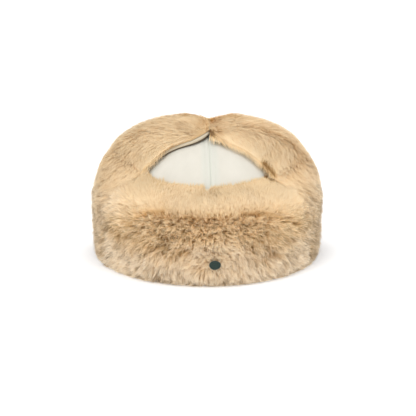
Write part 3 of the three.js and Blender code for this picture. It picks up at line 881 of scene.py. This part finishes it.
def near_crest(height, above=0.0):
    """1 along the neck flap's crest, where the fur parts, falling to 0 above and below it."""
    return hump(height, CREST["half_height"], CREST["z"] + above)


def near_shade_spot(tip):
    """1 at the spots of painted shade where the flaps meet and by the right flap's corner, falling to 0 round
    them.
    """
    near = [((tip - np.array(at)) ** 2).sum(-1) / PAINTED_SHADE_SPOTS["radius"] ** 2 for at in PAINTED_SHADE_SPOTS["at"]]
    return np.exp(-np.min(near, axis=0) ** 2)


def pelt_share(depth):
    """Where the underfur's surface lies, as a share of the fur's whole depth."""
    return np.maximum(PELT_LEAST_SHARE, 1 - PELT_DEPTH / depth)


class Patch:
    """A flap's outer form as a grid over across and up, which any place between can be read from. Places
    are an array of two rows, how far across and how far up."""

    def __init__(self, place_at, stand_off_at, columns, rows, flipped=False, cover=0.5, upright=False):
        across = np.linspace(0, 1, columns + 1)[None, :]
        up = np.linspace(0, 1, rows + 1)[1:, None]
        point, normal, level = place_at(across, up)
        off = stand_off_at(point)
        depth = np.maximum(fur_depth(point, level), off + FUR_EDGE_DEPTH)
        start, start_normal, start_level = place_at(across, np.zeros((1, 1)))
        start_off, start_depth = stand_off_at(start), fur_depth(start, start_level)

        def hem_row(height, far):
            row = start + start_normal * far[..., None]
            row[..., 2] = height
            return row[0]

        hem = [hem_row(height, mix(start_off, start_depth, share)) for height, share in HEM]
        hem_inner = [hem_row(height, start_off) for height, share in HEM]
        self.outer = np.concatenate([hem, point + normal * depth[..., None]])
        self.inner = np.concatenate([hem_inner, point + normal * off[..., None]])
        self.flipped = flipped
        self.upright = upright
        self.cover = cover  # how far the fur stays off the crown, to pass over what lies between
        self.rows, self.columns = self.outer.shape[0] - 1, self.outer.shape[1] - 1
        self.depth = np.linalg.norm(self.outer - self.inner, axis=-1)
        self.across_way, self.across_past = (
            np.gradient(grid, 1 / self.columns, axis=1) for grid in (self.outer, self.inner))
        self.up_way, self.up_past = (
            np.gradient(grid, 1 / self.rows, axis=0) for grid in (self.outer, self.inner))
        square = np.cross(self.across_way, self.up_way)
        self.normal = unit(-square if flipped else square)
        cell = np.linalg.norm(square, axis=-1)
        self.area = (cell[:-1, :-1] + cell[1:, 1:]) / 2 / self.columns / self.rows
        ways = (self.across_way, self.up_way)
        self.size = np.array([[np.linalg.norm(way, axis=-1).mean()] for way in ways])

    def scatter(self, count, rng):
        """Random places, even over the surface's area but denser where the fur parts."""
        corner = self.outer[:-1, :-1]
        denser = 1 + CREST["denser"] * near_crest(corner[..., 2]) + SLEEK["denser"] * near_spot(corner, SLEEK)
        share = np.cumsum((self.area * denser).ravel())
        cell = np.searchsorted(share / share[-1], rng.random(count))
        row, column = np.divmod(cell, self.columns)
        return np.stack([(column + rng.random(count)) / self.columns, (row + rng.random(count)) / self.rows])

    def read(self, grid, place):
        """A grid's value at places, held at its border."""
        x, y = np.clip(place, 0, 1) * [[self.columns], [self.rows]]
        j = np.minimum(x.astype(int), self.columns - 1)
        i = np.minimum(y.astype(int), self.rows - 1)
        shape = (-1, *[1] * (grid.ndim - 2))
        across, up = (x - j).reshape(shape), (y - i).reshape(shape)
        low, high = (mix(grid[row, j], grid[row, j + 1], across) for row in (i, i + 1))
        return mix(low, high, up)

    def place_on(self, place, share):
        """Points between the inner and the outer grid, carried on straight past the grids' borders."""
        held = np.clip(place, 0, 1)
        past = (place - held)[..., None]
        point = mix(self.read(self.inner, held), self.read(self.outer, held), share[:, None])
        return point + self.read(self.across_past, held) * past[0] + self.read(self.up_past, held) * past[1]

    def steps(self, place, way, length):
        """The steps in across and up that go so far along the patch in a direction."""
        along, rise = self.read(self.across_way, place), self.read(self.up_way, place)
        if self.upright:
            second = unit(rise)
            first = unit(along - second * dot(along, second))
        else:
            first = unit(along)
            second = unit(rise - first * dot(rise, first))
        (a, b), (c, d) = ((dot(along, axis)[:, 0], dot(rise, axis)[:, 0]) for axis in (first, second))
        steps = np.stack([way[0] * d - way[1] * b, way[1] * a - way[0] * c])
        return steps * length / np.maximum(a * d - b * c, 1e-3)

    def clumps(self, place, spacing, seed, cells=97):
        """The clump that each place belongs to: its middle, its own random numbers and how far off it is."""
        table = np.random.default_rng(seed).random((cells, cells, 6))
        at = place * self.size / spacing
        best = np.full(at.shape[1], np.inf)
        middle = np.zeros(at.shape)
        own = np.zeros((at.shape[1], 6))
        for beside in np.ndindex(3, 3):
            cell = np.floor(at).astype(int) + np.array(beside)[:, None] - 1
            numbers = table[tuple(cell % cells)]
            point = cell + numbers[:, :2].T
            gap = ((at - point) ** 2).sum(0)
            closer = gap < best
            best[closer] = gap[closer]
            middle[:, closer] = point[:, closer]
            own[closer] = numbers[closer]
        return middle * spacing / self.size, own, np.sqrt(best)


def over_crown(points, least, most):
    """Moves points over the crown to stand off it by no less and no more than so much."""
    x, y = points[:, 0], points[:, 1]
    inside = np.hypot(x / CROWN_HALF_WIDTH, y / CROWN_HALF_DEPTH) < 0.97
    over, normal, _ = crown_over(x, y)
    height = (points[:, 2] - over[:, 2]) * np.maximum(normal[:, 2], 0.35)
    lift = np.where(inside, np.clip(height, least, np.maximum(least, most)) - height, 0)
    return points + normal * lift[:, None]


def combed(patch, kind, place):
    """The way the fur is combed at places: its parts along the patch's two ways, small where it stands out,
    and how fluffy it is."""
    point = patch.read(patch.outer, place)
    across, up = place
    height = point[:, 2]
    turn = layers(point, WANDER)
    if kind == "neck":
        height = height - LEFT_RISE["height"] * smooth(-point[:, 0], LEFT_RISE["from"], LEFT_RISE["to"])
        fluffy = 1 - smooth(height, *FLUFFY["neck"])
        middle = across - 0.5
        sleek = near_spot(point, SLEEK)
        parting = PARTING["side"] * hump(middle, PARTING["width"]) * smooth(height, *PARTING["heights"])
        side = NECK_COMB["side"] * smooth(np.abs(middle), *NECK_COMB["side_at"]) + parting
        side = mix(np.sign(middle) * side, (point[:, 0] - SLEEK["x"]) / SLEEK["spread"], sleek)
        vertical = -np.interp(height, NECK_COMB["height"], NECK_COMB["down"])
        vertical = mix(vertical, (height - BADGE["height"]) / SLEEK["spread"], SLEEK["down"] * sleek)
        fluffy = fluffy * (1 - SLEEK["flatter"] * sleek) * (1 - PALE["flatter"] * near_spot(point, PALE))
        upright = 1 - UPRIGHT["comb"] * near_spot(point, BAND) * (1 - sleek)
        side, vertical = side * upright, vertical * upright
    else:
        fluffy = 1 - smooth(height, *FLUFFY["ear"])
        over = smooth(height, *EAR_COMB["over"])
        behind = 1 - smooth(across, *EAR_COMB["back_at"][kind])
        back = mix(*EAR_COMB["back"][kind], smooth(height, *EAR_COMB["top"]))
        side = back * behind * over + EAR_COMB["front"] * smooth(across, *EAR_COMB["front_at"])
        side = side + EAR_COMB["low_side"] * (1 - over)
        vertical = -mix(*EAR_COMB["down"], fluffy)
        vertical = mix(vertical, EAR_COMB["tip"], smooth(up, *EAR_COMB["tip_at"]))
    turn += fluffy * layers(point, FLUFFY_WANDER)
    a, b = np.stack([side, vertical]) / np.maximum(np.hypot(side, vertical), 1)
    return np.stack([a * np.cos(turn) - b * np.sin(turn), a * np.sin(turn) + b * np.cos(turn)]), fluffy


def root_lift(kind, root, edge, fluffy):
    """How far along a strand's colours its root already is: further where the fur lies close and even, and
    near the ear flaps' edges, where it is painted light on strands that lie in shade.
    """
    height = root[:, 2]
    if kind == "neck":
        lifts = [ROOT_LIFT["neck"] * (1 - fluffy), ROOT_LIFT["sleek"] * near_spot(root, SLEEK),
                 ROOT_LIFT["pale"] * near_spot(root, PALE),
                 ROOT_LIFT["crest"] * near_crest(height, CREST["root_above"]),
                 ROOT_LIFT["low"] * (1 - smooth(height, *LOW_LIFT_HEIGHTS)),
                 hump(root[:, 0], **CLEFT_LIFT) * smooth(height, *CLEFT_HEIGHTS)]
    else:
        # Painted light on the shaded strands near the ear flaps' edges.
        by_edge = np.clip((EDGE_LIFT["reach"] - edge) / EDGE_LIFT["width"], 0, 1)
        lifts = [ROOT_LIFT["ear"] * (1 - fluffy),
                 ROOT_LIFT["edge"] * by_edge * smooth(height, *EDGE_LIFT["heights"])]
    return np.max(lifts, axis=0)[:, None]


def strand_tone(kind, root, tip, fluffy, own, lock, rng):
    """How light and how warm each strand is, from 0 to 1."""
    x, height = root[:, 0], root[:, 2]
    tuft = own[:, 5] - 0.5
    band = near_spot(root, BAND) * (kind == "neck")
    # Painted shade: strands at the shade spots are darker and cooler.
    dark = near_shade_spot(tip)
    outside = smooth(np.abs(x), *OUTSIDE["at"])
    tone = TONE["middle"] + (mix(*TONE["tuft"], fluffy) + BAND["tuft"] * band) * tuft
    tone += mix(*TONE["lock"], fluffy) * (lock[:, 4] - 0.5) + rng.normal(0, mix(*TONE["own"], fluffy))
    tone += layers(root, TONE["waves"]) + layers(root, TONE["fluffy_waves"]) * fluffy
    tone += TONE["upper"][kind] * smooth(height, *TONE["upper_at"])
    tone += TONE["top"] * smooth(height, *TONE["top_at"])
    tone -= (OUTSIDE["darker"] + OUTSIDE["right_darker"] * (x > 0)) * outside * mix(*OUTSIDE["fur"], fluffy)
    tone -= PAINTED_SHADE_SPOTS["darker"] * dark
    warmth = 1 - OUTSIDE["cooler"] * outside - WARMTH["fluffy"] * fluffy + BAND["warmer"] * band
    warmth -= PAINTED_SHADE_SPOTS["cooler"] * (1 + (x < PAINTED_SHADE_SPOTS["left_of"])) * dark
    if kind == "neck":
        pale, low = near_spot(root, PALE), 1 - smooth(height, *LOW["heights"])
        tone += PALE["lighter"] * pale - BROWN["darker"] * near_spot(root, BROWN) + BAND["lighter"] * band
        # The crease term here is painted shade.
        tone += CREST["lighter"] * near_crest(height) - CREASE["darker"] * near_crease((root + tip) / 2)
        tone += low * (LOW["lighter"] + hump(x, **LOW_MIDDLE) + LOW["tuft"] * tuft)
        warmth -= PALE["cooler"] * pale + LOW["cooler"] * low
    warmth += layers(root, WARMTH["waves"]) + rng.normal(0, WARMTH["own"], len(root))
    return tone, warmth


def strand_length(kind, root, edge, fluffy, own, rng):
    """How far each strand reaches, shorter at the flaps' edges."""
    count = len(root)
    length = mix(*LENGTH["strand"], fluffy) * rng.uniform(*LENGTH["own"], count)
    length *= mix(1, mix(*LENGTH["tuft"], own[:, 2]), fluffy)
    length *= np.clip(LENGTH["at_edge"][kind] + edge / LENGTH["edge"], 0, 1)
    length *= 1 + CREST["longer"] * near_crest(root[:, 2])
    if kind == "neck":
        top = smooth(root[:, 2], *CLEFT_HEIGHTS)
        length *= 1 - top * hump(root[:, 0], **CLEFT_SHORTER)
        length *= 1 + top * layers(root, NECK_EDGE["waves"])
        length *= mix(1, rng.choice(NECK_EDGE["factors"], count, p=NECK_EDGE["shares"]), top)
        length *= 1 - CREASE["shorter"] * near_crease(root)
    return length


def tip_height(kind, root, edge, fluffy, own, lock, gaps):
    """How far each strand's tip stands off the patch's outer form, in millimetres."""
    tall = mix(*TALL["tuft"], fluffy) * (2 * own[:, 5] - 1)
    tall += mix(*TALL["lock"], fluffy) * (2 * lock[:, 5] - 1)
    tall *= np.clip(edge / LENGTH["edge"], 0, 1)
    if kind == "neck":
        tall -= CREASE["deeper"] * near_crease(root)
    if kind == "right":
        tall += hump(root[:, 2], **RIGHT_BULGE) * smooth(root[:, 0], *RIGHT_BULGE_AT)
    for name, gap in gaps.items():
        tall -= mix(*DROOP[name], fluffy) * np.minimum(gap, 1) ** 2
    return tall


def strand_lines(patch, place, tip, bow, root_share, tip_share, fluffy, own, shares):
    """Points along each strand from its root to its tip, kept off the crown and the floor."""
    line = []
    for share in shares:
        at = mix(place, tip, share) + bow * share * (1 - share) * BOW
        height = mix(root_share, tip_share, 1 - (1 - share) ** mix(*RISE_POWER, fluffy))
        past = np.maximum(np.maximum(-at[0], at[0] - 1) * patch.size[0], (at[1] - 1) * patch.size[1])
        most = np.where(past > 0, patch.cover + OVERHANG["off"] - OVERHANG["fall"] * past, np.inf)
        least = patch.cover * (1 - share**3) + OVERHANG["least"]
        point = over_crown(patch.place_on(at, height), least, most)
        floor_gap = FLOOR_GAP["least"] + FLOOR_GAP["tuft"] * own[:, 1] + FLOOR_GAP["tip"] * share
        point[:, 2] = np.maximum(point[:, 2], floor_gap)
        line.append(point)
    return np.stack(line, 1)


def ribbons(line, normal, girths, rng):
    """Flat tapered ribbons along lines of points: their points and how each of them is shaded."""
    count = len(line)
    way = unit(np.gradient(line, axis=1))
    face = normal[:, None] - way * dot(normal[:, None], way)
    face = unit(face + RIBBON["lean"] * normal[:, None])
    wide = np.cross(way, face)
    twist = rng.uniform(-RIBBON["twist"], RIBBON["twist"], count)[:, None, None]
    wide = unit(wide * np.cos(twist) + np.cross(way, wide) * np.sin(twist))
    girth = np.array(girths)[None, :, None] * rng.uniform(*RIBBON["girth"], count)[:, None, None]
    out = wide[:, :-1] * girth
    sides = np.stack([line[:, :-1] - out, line[:, :-1] + out], 2).reshape(count, -1, 3)
    shading = np.concatenate([np.repeat(face[:, :-1], 2, 1), face[:, -1:]], 1)
    return np.concatenate([sides, line[:, -1:]], 1), shading + RIBBON["shading"] * normal[:, None]


def ribbon_faces(count, rows):
    """Corners and sizes of so many ribbons' faces, each a strip of quads with a triangle at its tip."""
    strip = [corner for k in range(0, 2 * rows - 2, 2) for corner in (k, k + 1, k + 3, k + 2)]
    one = np.array(strip + [2 * rows - 2, 2 * rows - 1, 2 * rows])
    corners = one + (2 * rows + 1) * np.arange(count)[:, None]
    return corners, np.tile([4] * (rows - 1) + [3], count)


def strand_piece(name, patch, kind, count, build, seed):
    """Fur strands as flat tapered ribbons, gathered in tufts that share a tip, and tufts in larger locks."""
    rng = np.random.default_rng(seed)
    place = patch.scatter(count, rng)
    start = patch.read(patch.outer, place)
    band = near_spot(start, BAND) * (kind == "neck")
    in_band = band > FINE_TUFTS["from"] + layers(start, FINE_TUFTS["waves"])
    fine, coarse = patch.clumps(place, TUFT["fine"], 77), patch.clumps(place, TUFT["coarse"], 79)
    tuft, own, gap = (np.where(in_band, one.T, other.T).T if one.shape == (count, 6)
                      else np.where(in_band, one, other) for one, other in zip(fine, coarse))
    _, lock, lock_gap = patch.clumps(tuft, LOCK, 78)
    tuft = np.clip(tuft, 0, 1)
    depth = np.maximum(patch.read(patch.depth, place), LEAST_DEPTH)
    root_share = pelt_share(depth) * ROOT_DEPTH
    root = patch.place_on(place, root_share)
    edge = np.minimum(distance_to(BEHIND, root), distance_to(FRONT, root))
    normal = unit(patch.read(patch.normal, place))
    way, fluffy = combed(patch, kind, place)
    tuft_way, _ = combed(patch, kind, tuft)
    length = build["reach"] * strand_length(kind, root, edge, fluffy, own, rng)
    least_lean = LEAN["least"]
    if kind == "neck":
        reach = np.hypot(root[:, 0] - SLEEK["x"], root[:, 2] - BADGE["height"])
        over_badge = (np.abs(reach - CROSSING["radius"]) < CROSSING["half_width"]) & (root[:, 1] < 0)
        over_badge &= rng.random(count) < CROSSING["share"]
        way = np.where(over_badge, -way, way)
        tuft_way = np.where(over_badge, way, tuft_way)
        least_lean = least_lean * (1 - UPRIGHT["lean"] * near_spot(root, BAND))
    jitter = rng.normal(0, mix(*JITTER, fluffy), (2, count))
    lean = np.sqrt(np.maximum(least_lean**2 - (tuft_way**2).sum(0), 0)) + LEAN["more"] * fluffy
    lean_way = 2 * np.pi * own[:, 2]
    swirl = lean * np.stack([np.cos(lean_way), np.sin(lean_way)])
    swirl = swirl + LEAN["lock"] * fluffy * (lock[:, 2:4].T * 2 - 1)
    pull = mix(*PULL["fur"], fluffy) * mix(*PULL["tuft"], own[:, 3]) * rng.uniform(*PULL["own"], count)
    tip = mix(place + patch.steps(place, way + jitter, length),
              tuft + patch.steps(tuft, tuft_way + swirl, length), pull)
    curl = mix(*CURL["tuft"], fluffy) * (2 * own[:, 4] - 1) + rng.normal(0, mix(*CURL["own"], fluffy))
    bow = patch.steps(place, np.stack([-way[1], way[0]]), length * curl)
    tall = tip_height(kind, root, edge, fluffy, own, lock, {"tuft": gap, "lock": lock_gap})
    tip_share = build["reach"] * (1 + (tall + rng.normal(0, mix(*TALL["own"], fluffy))) / depth)
    tip_share = np.clip(tip_share, root_share * 0.9, 1 + TALL["most"] / depth)
    line = strand_lines(patch, place, tip, bow, root_share, tip_share, fluffy, own, build["shares"])
    points, shading = ribbons(line, normal, build["girths"], rng)
    rows, each = len(build["girths"]), points.shape[1]
    corners, sizes = ribbon_faces(count, rows)
    tone, warmth = strand_tone(kind, root, line[:, -1], fluffy, own, lock, rng)
    tone_bin = np.clip(tone * TONE_BINS, 0, TONE_BINS - 1).astype(int)
    warmth_bin = np.clip(warmth * WARMTH_BINS, 0, WARMTH_BINS - 1).astype(int)
    lift = root_lift(kind, root, edge, fluffy)
    along = mix(lift, 1, np.concatenate([np.repeat(build["shares"][:-1], 2), [1.0]]))
    # Painted shade: strands at the shade spots take more of their dark root colours.
    along = along * (1 - PAINTED_SHADE_SPOTS["browner"] * near_shade_spot(line[:, -1])[:, None])
    if kind == "neck":
        # Painted shade: along the creases the strands take more of their dark root colours.
        along = along * (1 - CREASE["browner"] * near_crease(line[:, 1])[:, None])
    cell = (tone_bin + TONE_BINS * warmth_bin)[:, None]
    in_cell = mix(BAKE_MARGIN["across"], 1 - BAKE_MARGIN["across"], np.array([0, 1] * rows + [0.5]))
    u = mix(BAKE_MARGIN["along"], 1 - BAKE_MARGIN["along"], along)
    bake = np.stack([u, (cell + in_cell) / (TONE_BINS * WARMTH_BINS)], -1).reshape(-1, 2)
    values = {"along": along, "tone": np.repeat((tone_bin + 0.5) / TONE_BINS, each),
              "warmth": np.repeat((warmth_bin + 0.5) / WARMTH_BINS, each)}
    piece = build_mesh(name, points, corners, STRANDS, sizes, {"OFBake": bake}, values, shading)
    return put(piece, "flap_fur")


def pelt_piece(name, patch, *nodes):
    """A flap's dense underfur, the surface that its strands stand in."""
    share = pelt_share(np.maximum(patch.depth, LEAST_DEPTH))[..., None]
    outer = mix(patch.inner, patch.outer, share)
    relief = layers(outer, PELT_RELIEF) * np.clip(patch.depth / 12, 0, 1)
    outer = outer + patch.normal * (relief * (outer[..., 2] > PELT_PLAIN_BELOW))[..., None]
    points, faces = closed_slab(outer, patch.inner, patch.flipped)
    fluffy = smooth(points[:, 2], *DARK_PELT["low"]) * (1 - smooth(points[:, 2], *DARK_PELT["high"]))
    # The pelt also takes its dark colour as painted shade at the shade spots.
    fluffy = np.maximum(fluffy * (1 - near_spot(points, SLEEK)), near_shade_spot(points))
    piece = build_mesh(name, points, faces, PELT, values={"fluffy": fluffy})
    return put(piece, "flap_fur", *nodes)


def fur():
    neck = Patch(neck_place, lambda point: np.full(point.shape[:-1], CLEARANCE), 84, 40, upright=True)
    pelt_piece("neck_flap_pelt", neck, "neck_flap")
    guard, under = STRAND_COUNTS["neck"]
    strand_piece("neck_flap_strands", neck, "neck", guard, GUARD, 101)
    strand_piece("neck_flap_underfur", neck, "neck", under, UNDER, 102)
    for number, (side, ear) in enumerate(EARS.items()):
        def place_at(across, up, ear=ear):
            return ear_place(ear, mix(ear["short"] * smooth(up, *EAR_SHORT_AT), 1, across), up)

        def off_at(point, ear=ear):
            return stand_off(ear, point) + LINING_THICKNESS + CLEARANCE

        cover = ear["lift"] + LINING_THICKNESS + 2 * CLEARANCE
        patch = Patch(place_at, off_at, 40, 66, flipped=ear["sign"] < 0, cover=cover)
        pelt_piece(f"ear_flap_pelt_{side}", patch, f"ear_flap_{side}")
        guard, under = STRAND_COUNTS[side]
        strand_piece(f"ear_flap_strands_{side}", patch, side, guard, GUARD, 111 + number)
        strand_piece(f"ear_flap_underfur_{side}", patch, side, under, UNDER, 121 + number)


# The badge and the snap
BADGE_GRID = {"around": 120, "field": 14, "border": 8}
BADGE_BORDER = {"at": 0.87, "half_width": 0.13, "height": 0.6}
BADGE_FIELD = {"height": 0.85, "to": (0.74, 0.8), "thread": 0.55, "slant": 0.35}
BADGE_SATIN = {"height": 0.07, "threads": 40}
BADGE_EDGE_HEIGHT = 0.3
BADGE_UNDER_HEIGHT = 0.02


def badge_frame():
    """The badge's middle on the fur's face, and the ways across it, up it and out of it."""
    faces = []
    for side in (-1, 0, 1):
        level = np.array(level_at(BADGE["height"] + side * BADGE["half_height"]))
        point, normal = crown_at(np.radians(BADGE["angle"]), level)
        faces.append((point + normal * fur_depth(point, level), normal))
    along = unit(faces[2][0] - faces[0][0])
    outward = unit(faces[1][1] - along * (faces[1][1] @ along))
    return faces[1][0] + outward * CLEARANCE, np.cross(along, outward), along, outward


def badge_piece():
    middle, side, along, outward = badge_frame()
    turns = np.linspace(0, 2 * math.pi, BADGE_GRID["around"], endpoint=False)[None, :]
    field = np.linspace(0.08, 0.78, BADGE_GRID["field"])
    out = np.concatenate([[0.02], field, np.linspace(0.8, 1.0, BADGE_GRID["border"])])[::-1, None]
    x = BADGE["half_width"] * out * np.cos(turns)
    y = BADGE["half_height"] * out * np.sin(turns)
    border = np.sqrt(np.clip(1 - ((out - BADGE_BORDER["at"]) / BADGE_BORDER["half_width"]) ** 2, 0, 1))
    threads = np.sin((x + BADGE_FIELD["slant"] * y) * 2 * math.pi / BADGE_FIELD["thread"])
    satin = border * np.sin(turns * BADGE_SATIN["threads"]) + (1 - smooth(out, *BADGE_FIELD["to"])) * threads
    height = BADGE_FIELD["height"] + BADGE_BORDER["height"] * border + BADGE_SATIN["height"] * satin
    height[0] = BADGE_EDGE_HEIGHT
    under = middle + x[..., None] * side + y[..., None] * along
    top = under + height[..., None] * outward
    under = under + BADGE_UNDER_HEIGHT * outward
    ends = middle + np.array([[BADGE_FIELD["height"]], [BADGE_UNDER_HEIGHT]]) * outward
    points, corners, sizes = closed_cap(top, under, ends)
    flat = points - middle
    uv = np.stack([flat @ side, flat @ along], -1)
    piece = build_mesh("badge_patch", points, corners, GREEN, sizes, {"cloth": uv})
    return put(piece, "badge_thread", "badge")


def snap_piece():
    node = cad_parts["flap_snap"]
    node.data.materials.clear()
    node.data.materials.append(snap_material("snap_plastic"))


# The setting
def set_world(scene):
    world = bpy.data.worlds.new("studio")
    world.use_nodes = True
    background = world.node_tree.nodes["Background"]
    background.inputs["Color"].default_value = (1.0, 1.0, 1.0, 1.0)
    background.inputs["Strength"].default_value = WORLD_STRENGTH
    scene.world = world


def lay_floor():
    side = FLOOR["half_width"]
    corners = np.array([[-side, -side, 0], [side, -side, 0], [side, side, 0], [-side, side, 0]])
    nodes = Nodes("floor_white", 0.9, specular=0.1)
    white = nodes.add("ShaderNodeRGB").outputs[0]
    white.default_value = (FLOOR["white"], FLOOR["white"], FLOOR["white"], 1.0)
    nodes.shader.inputs["Emission Color"].default_value = (1.0, 1.0, 1.0, 1.0)
    nodes.shader.inputs["Emission Strength"].default_value = FLOOR["glow"]
    build_mesh("floor", corners, [0, 1, 2, 3], nodes.paint(white), smoothed=False)


def turn_to(thing, target):
    thing.rotation_euler = (target - thing.location).to_track_quat("-Z", "Y").to_euler()


def hang_lamps(scene):
    for name, (place, size, watts) in LAMPS.items():
        light = bpy.data.lights.new(name, "AREA")
        light.shape = "DISK"
        light.size = size
        light.energy = watts
        lamp = bpy.data.objects.new(name, light)
        lamp.location = Vector(place)
        turn_to(lamp, Vector(LAMP_TARGET))
        scene.collection.objects.link(lamp)


def place_camera(scene):
    lens = bpy.data.cameras.new("camera")
    lens.sensor_width = 36.0
    lens.lens = lens.sensor_width * CAMERA_DISTANCE / (FRAME_PIXELS * PIXEL * MM)
    lens.clip_end = 50.0
    camera = bpy.data.objects.new("camera", lens)
    tilt = math.radians(CAMERA_ELEVATION)
    target = Vector(np.array(LOOK_AT) * MM + CENTRE)
    camera.location = target + CAMERA_DISTANCE * Vector((0, -math.cos(tilt), math.sin(tilt)))
    turn_to(camera, target)
    scene.collection.objects.link(camera)
    scene.camera = camera


crown_piece()
crown_stitching()
peak_piece()
peak_stitching()
for ear_side in EARS:
    lining_piece(ear_side)
    # Painted shadow: a dark strip fills the gap under this lining's edges.
    if EARS[ear_side]["shadow_under"] > 0.5:
        shadow_strip_piece(ear_side)
    lining_stitching(ear_side)
fur()
badge_piece()
snap_piece()

stage_scene = bpy.context.scene
stage_scene.view_settings.view_transform = "Standard"
set_world(stage_scene)
lay_floor()
hang_lamps(stage_scene)
place_camera(stage_scene)
